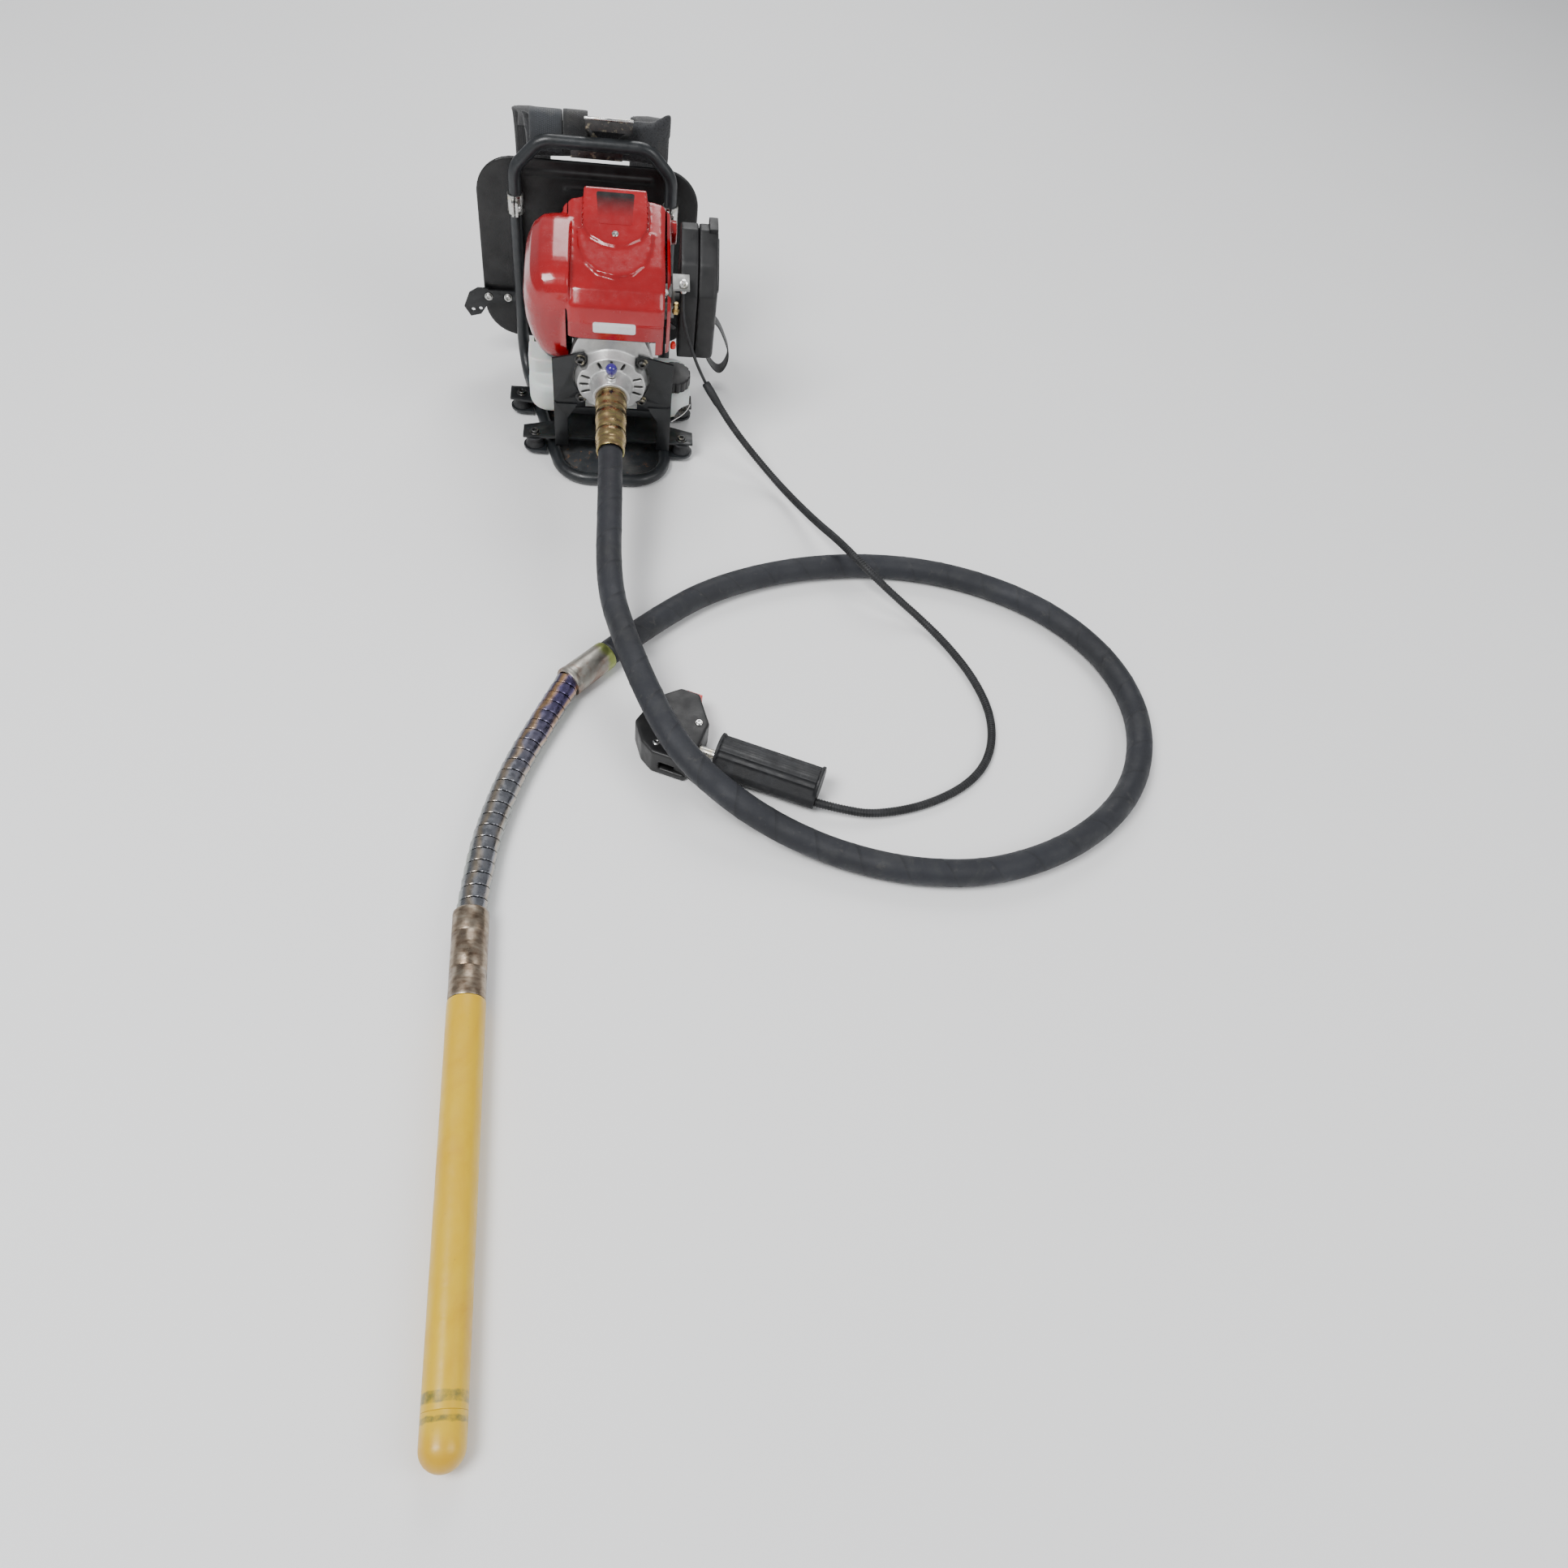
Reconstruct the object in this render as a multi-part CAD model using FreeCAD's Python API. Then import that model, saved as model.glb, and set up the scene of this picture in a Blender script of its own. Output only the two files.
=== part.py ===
"""Backpack concrete vibrator: petrol engine on a tube frame, flexible shaft, poker head, hand control.

Frame: origin on the floor under the middle of the base plate, +Z up, -Y to the front where the
flexible shaft leaves, +X to the right seen from the front. Millimetres.
"""
import FreeCAD, Part
import math
import os

V = FreeCAD.Vector

# ---- driving dimensions -------------------------------------------------------------------------
# backpack frame
TUBE_D = 16.0
FRONT_Y = -151.0
REAR_Y = 100.0
FRONT_HALF = 65.0
LEFT_X = -128.0
RIGHT_X = 68.0
UPRIGHT_TOP = 238.0
BOW_TOP = 318.0
CORNER_R = 45.0
PLATE_T = 3.0
SUB_Z = 24.0
# back panel and pads
PANEL_X = (-178.0, 105.0)
PANEL_Z = (40.0, 287.0)
PANEL_Y = 116.0
PANEL_T = 5.0
PANEL_R = 48.0
PAD_T = 24.0
# engine, in its own axes: crank along local Y, housing face at local y = 0
ENGINE_AT = (-5.0, -105.0, 125.0)
ENGINE_TILT = 10.0
CRANK_R = 7.5
BORE_R = 19.5
FLYWHEEL_R = 48.0
DRUM_R = 32.0
SLEEVE_LEN = 90.0
SLEEVE_R = 19.5
# flexible shaft
HOSE_D = 30.0
FLEX_D = 29.0
FERRULE_R = 17.5
# poker head
HEAD_D = 35.0
HEAD_LEN = 376.0
HEAD_WALL = 4.0
CONNECTOR_LEN = 94.0
HEAD_AT = (-131.5, -815.5)
HEAD_YAW = 1.8
# hand control
GRIP_AT = (114.6, -615.8)
GRIP_YAW = -22.9
GRIP_LEN = 118.0
GRIP_R = 19.0
GRIP_Z = 21.0
CONDUIT_D = 10.0
CABLE_D = 4.0
GAP = 0.3

# routes of the free lines, each a list of the corners that its arcs round off
HOSE_ROUTE = [
    (-5, -221.3, 104.4), (-5, -290, 92.3), (-6, -419, 76), (12, -490, 66), (37, -566, 60),
    (67, -638, 55), (115, -687, 41), (176, -722, 22), (246, -752, 15), (325, -771, 15),
    (412, -768, 15), (511, -727, 15), (586, -656, 15), (620, -559, 15), (605, -462, 15),
    (546, -380, 15), (457, -327, 15), (359, -304, 15), (251, -310, 15), (150, -342, 15),
    (69, -393, 15), (-7, -474, 17.5),
]
FLEX_ROUTE = [
    (-49, -518.5, 17.5), (-73, -571, 15.5), (-98, -630, 15), (-117, -695, 15), (-128, -756, 15.5),
    (-131.5, -815.5, 17.5),
]
CABLE_ROUTE = [
    (79.5, -89.3, 243.5), (80, -86, 217), (86, -88, 189), (96, -86, 160), (107, -77, 129),
    (118, -64, 101),
]
CONDUIT_ROUTE = [
    (118, -64, 101), (137, -80, 78), (160, -98, 53), (190, -122, 29), (225, -161, 11),
    (257, -239, 27), (279, -300, 48), (306, -346, 48), (342, -370, 27), (380, -396, 9),
    (409, -438, 5), (431, -491, 5.2), (441, -549, 5), (428, -606, 5), (395, -647, 5.2),
    (341, -676, 5), (286, -689, 6.5), (252, -688, 10.5), (216.3, -679.2, 14),
]


# ---- small shape helpers ------------------------------------------------------------------------
def box(x0, x1, y0, y1, z0, z1):
    return Part.makeBox(x1 - x0, y1 - y0, z1 - z0, V(x0, y0, z0))


def rod(start, end, radius):
    a = V(*start)
    b = V(*end)
    return Part.makeCylinder(radius, (b - a).Length, a, b - a)


def ring(start, end, outer, inner):
    a = V(*start)
    along = V(*end) - a
    bore = Part.makeCylinder(inner, along.Length + 2.0, a - along.normalize(), V(*end) - a)
    return rod(start, end, outer).cut(bore)


def polygon(points):
    return Part.Face(Part.makePolygon([V(*p) for p in points] + [V(*points[0])]))


def plate_xz(outline, y0, y1):
    """Extrude an (x, z) outline from y0 to y1."""
    return polygon([(x, y0, z) for x, z in outline]).extrude(V(0, y1 - y0, 0))


def plate_xy(outline, z0, z1):
    return polygon([(x, y, z0) for x, y in outline]).extrude(V(0, 0, z1 - z0))


def plate_yz(outline, x0, x1):
    return polygon([(x0, y, z) for y, z in outline]).extrude(V(x1 - x0, 0, 0))


def fillet_along(shape, axis, radius):
    """Round every straight edge that runs along one axis."""
    edges = []
    for edge in shape.Edges:
        if isinstance(edge.Curve, Part.Line):
            direction = edge.tangentAt(edge.FirstParameter)
            if abs(abs(direction.dot(V(*axis))) - 1.0) < 1e-6:
                edges.append(edge)
    return shape.makeFillet(radius, edges)


def joined(shapes):
    whole = shapes[0]
    for shape in shapes[1:]:
        whole = whole.fuse(shape)
    return whole.removeSplitter()


def group(shapes):
    return Part.makeCompound(shapes)


def route_wire(points, name=None, radius=None):
    """Straight runs joined by tangent arcs; each arc is as large as its two runs allow."""
    pts = [V(*p) for p in points]
    edges = []
    here = pts[0]
    radii = []
    for before, corner, after in zip(pts, pts[1:], pts[2:]):
        into = (corner - before).normalize()
        out = (after - corner).normalize()
        half = into.getAngle(out) / 2.0
        shorter = min((corner - before).Length, (after - corner).Length)
        r = radius if radius else 0.45 * shorter / math.tan(half)
        back = r * math.tan(half)
        start = corner - into * back
        end = corner + out * back
        inward = (out - into).normalize()
        centre = corner + inward * (r / math.cos(half))
        middle = centre - inward * r
        edges.append(Part.LineSegment(here, start).toShape())
        edges.append(Part.Arc(start, middle, end).toShape())
        here = end
        radii.append(r)
    edges.append(Part.LineSegment(here, pts[-1]).toShape())
    wire = Part.Wire(edges)
    if name:
        print(name, "length %.0f" % wire.Length, "arc radii", " ".join("%.0f" % r for r in radii))
    return wire


def route_tube(points, diameter, name=None, radius=None):
    wire = route_wire(points, name, radius)
    start = V(*points[0])
    along = V(*points[1]) - start
    circle = Part.Wire(Part.makeCircle(diameter / 2.0, start, along))
    tube = wire.makePipeShell([circle], True, False)
    if name:
        section = math.pi * diameter * diameter / 4.0
        print(name, "volume over section x length %.4f" % (tube.Volume / (section * wire.Length)))
    return tube


def band(points, width, thick, radius, across=V(1, 0, 0)):
    """A flat webbing band: its run lies in a plane that its width crosses squarely."""
    x, y, z = points[0]
    wire = route_wire(points, radius=radius)
    along = V(*points[1]) - V(*points[0])
    up = along.cross(across).normalize()
    half = across * (width / 2.0)
    rise = up * (thick / 2.0)
    start = V(x, y, z)
    corners = [start - half - rise, start + half - rise, start + half + rise, start - half + rise]
    outline = Part.Wire(Part.makePolygon(corners + [corners[0]]))
    return wire.makePipeShell([outline], True, False)


def bolt(head, direction, head_r=5.0, head_h=4.0, shank_r=3.0, shank=8.0):
    """A bolt whose head starts at a point and stands out along a direction."""
    d = V(*direction).normalize()
    p = V(*head)
    cap = Part.makeCylinder(head_r, head_h, p, d)
    socket = Part.makeCylinder(head_r * 0.5, head_h * 0.6, p + d * (head_h * 0.45), d)
    stem = Part.makeCylinder(shank_r, shank, p - d * shank, d)
    return cap.cut(socket).fuse(stem)


# ---- places -------------------------------------------------------------------------------------
def placed(shape, at, yaw=0.0, tilt=0.0):
    moved = shape.copy()
    turn = FreeCAD.Rotation(V(0, 0, 1), yaw).multiply(FreeCAD.Rotation(V(1, 0, 0), tilt))
    moved.Placement = FreeCAD.Placement(V(*at), turn)
    return moved


def in_engine(shape):
    return placed(shape, ENGINE_AT, tilt=ENGINE_TILT)


def in_head(shape):
    """Head axes: local -Y runs to the tip, origin where the bend guard enters the connector."""
    return placed(shape, (HEAD_AT[0], HEAD_AT[1], HEAD_D / 2.0), yaw=HEAD_YAW)


def in_hand(shape):
    """Hand control axes: +X along the grip towards the cable end, +Z up from the floor."""
    return placed(shape, (GRIP_AT[0], GRIP_AT[1], 0.0), yaw=GRIP_YAW)


# ---- backpack frame -----------------------------------------------------------------------------
TUBE_Z = TUBE_D / 2.0
RAIL_SPLIT_Y = 20.0


def rail_x(side, y):
    """X of the rail's centreline at y; the left rail spreads towards the rear."""
    share = (y - FRONT_Y) / (REAR_Y - FRONT_Y)
    if side < 0:
        return -FRONT_HALF + (LEFT_X + FRONT_HALF) * share
    return FRONT_HALF + (RIGHT_X - FRONT_HALF) * share


def base_loop():
    points = [
        (rail_x(-1, RAIL_SPLIT_Y), RAIL_SPLIT_Y, TUBE_Z), (-FRONT_HALF, FRONT_Y, TUBE_Z),
        (FRONT_HALF, FRONT_Y, TUBE_Z), (rail_x(1, RAIL_SPLIT_Y), RAIL_SPLIT_Y, TUBE_Z),
    ]
    return route_tube(points, TUBE_D, radius=CORNER_R)


def upright(side):
    x = LEFT_X if side < 0 else RIGHT_X
    points = [
        (rail_x(side, RAIL_SPLIT_Y), RAIL_SPLIT_Y, TUBE_Z), (x, REAR_Y, TUBE_Z), (x, REAR_Y, UPRIGHT_TOP),
    ]
    return route_tube(points, TUBE_D, radius=CORNER_R)


def top_bow():
    points = [
        (LEFT_X, REAR_Y, UPRIGHT_TOP), (LEFT_X, REAR_Y, 282.0), (LEFT_X + 34.0, REAR_Y, BOW_TOP),
        (RIGHT_X - 30.0, REAR_Y, BOW_TOP), (RIGHT_X, REAR_Y, 284.0), (RIGHT_X, REAR_Y, UPRIGHT_TOP),
    ]
    return route_tube(points, TUBE_D, radius=30.0)


def tube_clamps():
    """Split collars over the joint of each upright with the bow, each with a pinch lug."""
    collars = []
    for x, inner in ((LEFT_X, 1), (RIGHT_X, -1)):
        outer = rod((x, REAR_Y, UPRIGHT_TOP - 12.0), (x, REAR_Y, UPRIGHT_TOP + 12.0), TUBE_D / 2.0 + 2.2)
        lug = box(x - 4.0, x + 4.0, REAR_Y - 20.0, REAR_Y, UPRIGHT_TOP - 9.0, UPRIGHT_TOP + 9.0)
        hole = rod((x, REAR_Y, UPRIGHT_TOP - 13.0), (x, REAR_Y, UPRIGHT_TOP + 13.0), TUBE_D / 2.0 + 0.02)
        split = box(x - 0.8, x + 0.8, REAR_Y - 22.0, REAR_Y - 7.0, UPRIGHT_TOP - 13.0, UPRIGHT_TOP + 13.0)
        bore = rod((x - 6.0, REAR_Y - 14.5, UPRIGHT_TOP), (x + 6.0, REAR_Y - 14.5, UPRIGHT_TOP), 2.6)
        collars.append(outer.fuse(lug).cut(hole).cut(split).cut(bore))
    return group(collars)


def base_plate():
    inset = 6.6
    rear = RAIL_SPLIT_Y + 18.0
    outline = [
        (rail_x(-1, FRONT_Y + 45) + inset, FRONT_Y + 45.0), (-FRONT_HALF + 33.0, FRONT_Y + inset + 3.0),
        (FRONT_HALF - 33.0, FRONT_Y + inset + 3.0), (rail_x(1, FRONT_Y + 45) - inset, FRONT_Y + 45.0),
        (rail_x(1, rear) - inset, rear), (rail_x(-1, rear) + inset + 1.4, rear),
    ]
    plate = plate_xy(outline, 0.0, PLATE_T)
    for x in (-45.0, 45.0):
        for y in (-60.0, 15.0):
            plate = plate.cut(rod((x, y, -1.0), (x, y, PLATE_T + 1.0), 3.25))
    return plate


MOUNT_Y = (-84.0, 0.0)
MOUNT_OUT = 23.0


def rail_ears():
    """Steel ears welded outside the rails, one under each rubber mount."""
    ears = []
    for side in (-1, 1):
        for y in MOUNT_Y:
            rail = rail_x(side, y)
            inner = rail + side * (TUBE_D / 2.0 + 0.1)
            centre = mount_x(side, y)
            ear = box(min(inner, centre), max(inner, centre), y - 15.0, y + 15.0, 6.0, 9.0)
            ears.append(ear.fuse(rod((centre, y, 6.0), (centre, y, 9.0), 15.0)))
    return ears


def mount_x(side, y):
    rail = rail_x(side, y)
    return rail + side * MOUNT_OUT


def rubber_mounts():
    """Four waisted rubber blocks that carry the engine's sub plate."""
    blocks = []
    for side in (-1, 1):
        for y in MOUNT_Y:
            x = mount_x(side, y)
            low = Part.makeCone(13.0, 10.5, 7.5, V(x, y, 9.0))
            high = Part.makeCone(10.5, 13.0, 7.5, V(x, y, 16.5))
            blocks.append(low.fuse(high).cut(rod((x, y, 8.0), (x, y, 25.0), 3.2)))
    return group(blocks)


def sub_plate():
    """Folded plate over the rubber mounts; the tank sits above it and the bracket bolts to it."""
    front, rear = MOUNT_Y
    right_front = mount_x(1, front) + 15.0
    right_rear = mount_x(1, rear) + 15.0
    left_front = mount_x(-1, front) - 15.0
    left_rear = mount_x(-1, rear) - 15.0
    wide = [
        (left_front, front - 9.0), (right_front, front - 9.0), (right_front, front + 15.0),
        (62.0, front + 30.0), (62.0, rear - 25.0), (right_rear, rear - 12.0),
        (right_rear, rear + 15.0), (left_rear, rear + 15.0), (left_rear, rear - 12.0),
        (-68.0, rear - 25.0), (-68.0, front + 30.0), (left_front, front + 15.0),
    ]
    plate = plate_xy(wide, SUB_Z, SUB_Z + 3.0)
    for side in (-1, 1):
        for y in MOUNT_Y:
            x = mount_x(side, y)
            plate = plate.cut(rod((x, y, SUB_Z - 1.0), (x, y, SUB_Z + 4.0), 3.2))
    window = box(-30.0, 26.0, -62.0, -8.0, SUB_Z - 1.0, SUB_Z + 4.0)
    return plate.cut(window)


LEG_Y = -96.7
LEG_FOOT_Z = TUBE_D + 0.5


def engine_bracket():
    """Two plates bolted over the housing's ears, their legs down to the rails, and a cross strip."""
    face = []
    legs = []
    for side, outer, inner in ((-1, -73.0, -33.0), (1, 77.0, 33.0)):
        face.append(plate_xz([(outer, 28.0), (inner, 40.0), (inner, -50.0), (outer, -50.0)], 2.8, 5.8))
        row_outer = outer + ENGINE_AT[0]
        foot_in = row_outer - side * 17.0
        legs.append(plate_xz([(row_outer, 82.0), (row_outer - side * 30.0, 82.0), (foot_in, 60.0),
                              (foot_in, LEG_FOOT_Z), (row_outer, LEG_FOOT_Z)], LEG_Y, LEG_Y + 3.0))
        edge = min(row_outer, row_outer - side * 3.0)
        legs.append(plate_yz([(LEG_Y, LEG_FOOT_Z), (LEG_Y + 3.0, LEG_FOOT_Z), (LEG_Y + 3.0, 27.3),
                              (LEG_Y + 25.0, 27.3), (LEG_Y + 25.0, 60.0), (LEG_Y + 3.0, 84.0),
                              (LEG_Y, 84.0)], edge, edge + 3.0))
        sole_out = row_outer - side * 3.0
        legs.append(box(min(sole_out, foot_in), max(sole_out, foot_in), LEG_Y + 3.0, LEG_Y + 25.0,
                        SUB_Z + 3.3, SUB_Z + 6.3))
    strip = plate_xz([(-60.0, -62.0), (60.0, -62.0), (60.0, -51.0), (-60.0, -51.0)], 2.8, 5.8)
    face.append(plate_xz([(-72.0, -66.0), (-55.0, -66.0), (-55.0, -49.0), (-72.0, -49.0)], 2.8, 5.8))
    face.append(plate_xz([(76.0, -66.0), (55.0, -66.0), (55.0, -49.0), (76.0, -49.0)], 2.8, 5.8))
    front = joined(face + [strip]).cut(rod((0, 0.0, 0), (0, 8.0, 0), FACE_R + 1.5))
    for x, z in HOUSING_BOLTS:
        front = front.fuse(rod((x, 2.8, z), (x, 5.8, z), EAR_R))
        front = front.cut(rod((x, 0.0, z), (x, 8.0, z), 3.3))
    return joined([in_engine(front)] + legs)


BAR_BOLT_X = (-172.0, -146.0, 92.0)
BAR_BOLT_Z = 101.0


def cross_bar():
    """Flat bar behind the uprights with a bent anchor ear at its left end."""
    bar = box(-186.0, 104.0, REAR_Y + TUBE_D / 2.0 + 0.2, REAR_Y + TUBE_D / 2.0 + 3.2, 92.0, 110.0)
    ear = plate_xz([(-186.0, 112.0), (-198.0, 104.0), (-206.0, 84.0), (-198.0, 70.0), (-184.0, 74.0),
                    (-172.0, 92.0), (-172.0, 112.0)], REAR_Y + 8.2, REAR_Y + 11.2)
    whole = bar.fuse(ear).removeSplitter()
    for x, z in [(-194.0, 80.0), (-184.0, 82.0)] + [(x, BAR_BOLT_Z) for x in BAR_BOLT_X]:
        whole = whole.cut(rod((x, REAR_Y, z), (x, REAR_Y + 20.0, z), 2.6))
    return whole


def panel_outline(inset, y, x_range=PANEL_X, z_range=PANEL_Z, radius=PANEL_R):
    x0, x1 = x_range
    z0, z1 = z_range
    block = box(x0 + inset, x1 - inset, y, y + 10.0, z0 + inset, z1 - inset)
    return fillet_along(block, (0, 1, 0), radius - inset)


def back_panel():
    """Pressed shell with a rearward rim, a stiffening ridge and a shallow centre."""
    skin = panel_outline(0.0, PANEL_Y).common(box(-300, 300, PANEL_Y, PANEL_Y + PANEL_T, 0, 400))
    hollow = panel_outline(2.5, PANEL_Y + 2.5)
    shell = skin.cut(hollow)
    ridge = box(-120.0, 45.0, PANEL_Y - 2.0, PANEL_Y + 0.5, 268.0, 273.0)
    short = box(-66.0, 6.0, PANEL_Y - 1.5, PANEL_Y + 0.5, 252.0, 255.0)
    return shell.fuse(ridge).fuse(short).removeSplitter()


def back_pad():
    """Wearer's cushion on the rear of the panel."""
    y0 = PANEL_Y + PANEL_T + GAP
    block = box(PANEL_X[0] + 14.0, PANEL_X[1] - 14.0, y0, y0 + PAD_T, 54.0, 262.0)
    pad = fillet_along(block, (0, 1, 0), 36.0)
    rear = [edge for edge in pad.Edges if min(v.Y for v in edge.Vertexes) > y0 + PAD_T - 0.1]
    return pad.makeFillet(9.0, rear)


def neck_pad():
    """Upper strap carrier over the panel's top edge, with upturned corners."""
    outline = [
        (-114.0, 297.0), (-117.0, 322.0), (-121.0, 340.0), (-104.0, 334.0), (-70.0, 334.0),
        (-34.0, 338.0), (20.0, 341.0), (44.0, 342.0), (70.0, 351.0), (68.0, 330.0), (66.0, 297.0),
    ]
    return plate_xz(outline, PANEL_Y + 6.0, PANEL_Y + 18.0)


def strap_plate():
    """Bright steel carry plate between the bow and the neck pad, with a V brace below it."""
    y0 = REAR_Y + TUBE_D / 2.0 + 0.3
    top = box(-40.0, 18.0, y0, y0 + 3.0, 330.0, 344.0)
    low = box(-58.0, 6.0, y0, y0 + 3.0, 296.0, 309.0)
    brace_l = plate_xz([(-40.0, 330.5), (-32.0, 330.5), (-14.0, 308.5), (-22.0, 308.5)], y0, y0 + 3.0)
    brace_r = plate_xz([(18.0, 330.5), (10.0, 330.5), (-16.0, 308.5), (-8.0, 308.5)], y0, y0 + 3.0)
    return joined([top, low, brace_l, brace_r])


STRAP_X = (-110.0, 38.0)
STRAP_W = 45.0


def shoulder_strap(x):
    """Padded strap that stands off the back pad like a worn strap: over, down and back in."""
    y0 = PANEL_Y + PANEL_T + PAD_T
    points = [(x, PANEL_Y + 22.0, 322.0), (x, y0 + 34.0, 322.0), (x, y0 + 62.0, 262.0),
              (x, y0 + 54.0, 170.0), (x, y0 + 38.0, 96.0), (x, y0 + 22.0, 46.5), (x, y0 - 23.5, 46.5)]
    return band(points, STRAP_W, 7.0, 20.0)


def strap_loop():
    """Loose webbing that hangs as a loop from the cross bar's right end."""
    route = [(98.5, 101.0), (134.0, 101.0), (160.0, 48.0), (150.0, 14.0), (122.0, 50.0), (112.0, 94.5),
             (98.5, 94.5)]
    return band([(x, 97.0, z) for x, z in route], 22.0, 2.0, 8.0, V(0, 1, 0))


def frame_bolts():
    bolts = []
    for side in (-1, 1):
        for y in MOUNT_Y:
            x = mount_x(side, y)
            bolts.append(bolt((x, y, SUB_Z + 3.0), (0, 0, 1), 6.0, 4.0, 2.9, 14.0))
    for x in BAR_BOLT_X:
        bolts.append(bolt((x, REAR_Y + 8.2, BAR_BOLT_Z), (0, -1, 0), 5.0, 3.5, 2.5, 2.9))
    return group(bolts)


# ---- engine, in its own axes --------------------------------------------------------------------
HOUSING_BOLTS = [(-38.0, 30.0), (38.0, 30.0), (-38.0, -32.0), (38.0, -32.0)]
FACE_R = 46.0
EAR_R = 8.4


def clutch_housing():
    """Cast housing: eared flange, slotted face and the nose that takes the shaft coupling."""
    outline = [(-50, -30), (-42, -44), (-20, -50), (20, -50), (42, -44), (50, -30), (52, 20), (46, 46),
               (40, 60), (-40, 60), (-46, 46), (-52, 20)]
    flange = plate_xz(outline, 6.0, 24.0)
    dome = Part.makeCone(FACE_R, FACE_R - 4.0, 14.0, V(0, 6.0, 0), V(0, -1, 0))
    for x, z in HOUSING_BOLTS:
        dome = dome.cut(rod((x, -9.0, z), (x, 6.0, z), EAR_R + 0.8))
    nose = Part.makeCone(27.0, 23.0, 22.0, V(0, -8.0, 0), V(0, -1, 0))
    body = joined([flange, dome, nose])
    boss = rod((0, -20.0, 18.0), (0, -20.0, 27.0), 6.0)
    body = body.fuse(boss)
    body = body.cut(rod((0, 0.0, 0), (0, 26.0, 0), DRUM_R + 2.5))
    body = body.cut(rod((0, -12.0, 0), (0, 1.0, 0), 13.02))
    body = body.cut(rod((0, -32.0, 0), (0, -12.0, 0), SLEEVE_R - 1.0 + 0.02))
    body = body.cut(rod((0, -20.0, 14.0), (0, -20.0, 30.0), 2.56))
    for angle in (65, 90, 115, 160, 180, 200, -20, 0, 20):
        slot = box(28.0, 39.5, -12.0, 2.0, -1.8, 1.8)
        slot.rotate(V(0, 0, 0), V(0, 1, 0), -angle)
        body = body.cut(slot)
    for x, z in HOUSING_BOLTS:
        body = body.cut(rod((x, -4.0, z), (x, 26.0, z), 3.2))
    return body


def housing_bolts():
    return group([bolt((x, 2.8, z), (0, -1, 0), 5.5, 4.5, 3.0, 26.0) for x, z in HOUSING_BOLTS])


def lock_knob():
    """Ball knob on a spring plunger that holds the shaft coupling in the nose."""
    ball = Part.makeSphere(7.2, V(0, -20.0, 38.5))
    neck = Part.makeCone(4.2, 3.4, 6.0, V(0, -20.0, 28.0))
    pin = rod((0, -20.0, 20.5), (0, -20.0, 28.5), 2.5)
    return joined([ball, neck, pin])


SLEEVE_END = -28.0 - SLEEVE_LEN


def coupling_sleeve():
    """Plated coupling that plugs into the nose, swaged in rings over the hose."""
    profile = [
        (13.2, -13.0), (SLEEVE_R - 1.0, -13.0), (SLEEVE_R - 1.0, -30.2), (SLEEVE_R, -30.2),
        (SLEEVE_R, -46.0), (18.6, -48.0), (18.6, -58.0), (19.0, -60.0), (19.0, -76.0),
        (18.2, -78.0), (18.2, -92.0), (18.6, -94.0), (18.6, -102.0), (17.6, SLEEVE_END + 1.0),
        (17.0, SLEEVE_END), (13.2, SLEEVE_END),
    ]
    face = polygon([(r, y, 0) for r, y in profile])
    return face.revolve(V(0, 0, 0), V(0, 1, 0), 360)


def crankcase():
    block = fillet_along(box(-42.0, 42.0, 24.3, 100.0, -46.0, 44.0), (0, 1, 0), 14.0)
    cavity = rod((0, 36.0, 0), (0, 92.0, 0), 34.0)
    throat = rod((0, 65.0, 0), (0, 65.0, 50.0), BORE_R + 1.5)
    clutch_room = rod((0, 20.0, 0), (0, 28.0, 0), DRUM_R + 2.5)
    shaft = rod((0, 20.0, 0), (0, 104.0, 0), CRANK_R + 0.05)
    body = block.cut(cavity).cut(throat).cut(clutch_room).cut(shaft)
    for x, z in HOUSING_BOLTS:
        body = body.cut(rod((x, 20.0, z), (x, 30.0, z), 3.2))
    return body


def cylinder():
    barrel = rod((0, 65.0, 44.3), (0, 65.0, 112.0), BORE_R + 5.0)
    fins = [box(-33.0, 33.0, 36.0, 94.0, z, z + 2.2) for z in range(50, 110, 6)]
    whole = joined([barrel] + fins)
    bore = rod((0, 65.0, 40.0), (0, 65.0, 98.0), BORE_R)
    plug = rod((0, 65.0, 96.0), (0, 65.0, 114.0), 5.03)
    return whole.cut(bore).cut(plug)


def piston():
    crown = rod((0, 65.0, 62.0), (0, 65.0, 90.0), BORE_R - 0.05)
    hollow = rod((0, 65.0, 60.0), (0, 65.0, 84.0), BORE_R - 3.0)
    pin_hole = rod((-20.0, 65.0, 72.0), (20.0, 65.0, 72.0), 4.0)
    grooves = [ring((0, 65.0, z), (0, 65.0, z + 1.2), BORE_R + 1.0, BORE_R - 1.2) for z in (80.5, 84.5)]
    body = crown.cut(hollow).cut(pin_hole)
    for groove in grooves:
        body = body.cut(groove)
    return body


def crankshaft():
    """Built-up crank: two counterweight discs with the crank pin between them, and the main shaft."""
    front = rod((0, 20.0, 0), (0, 58.0, 0), CRANK_R)
    rear = rod((0, 72.0, 0), (0, 130.0, 0), CRANK_R)
    webs = []
    for y in (50.0, 72.0):
        disc = rod((0, y, 0), (0, y + 8.0, 0), 28.0)
        disc = disc.cut(box(-30.0, -17.0, y - 1.0, y + 9.0, 2.0, 30.0))
        webs.append(disc.cut(box(17.0, 30.0, y - 1.0, y + 9.0, 2.0, 30.0)))
    pin = rod((0, 58.0, 14.0), (0, 72.0, 14.0), 6.0)
    return joined([front, rear, pin] + webs)


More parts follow.
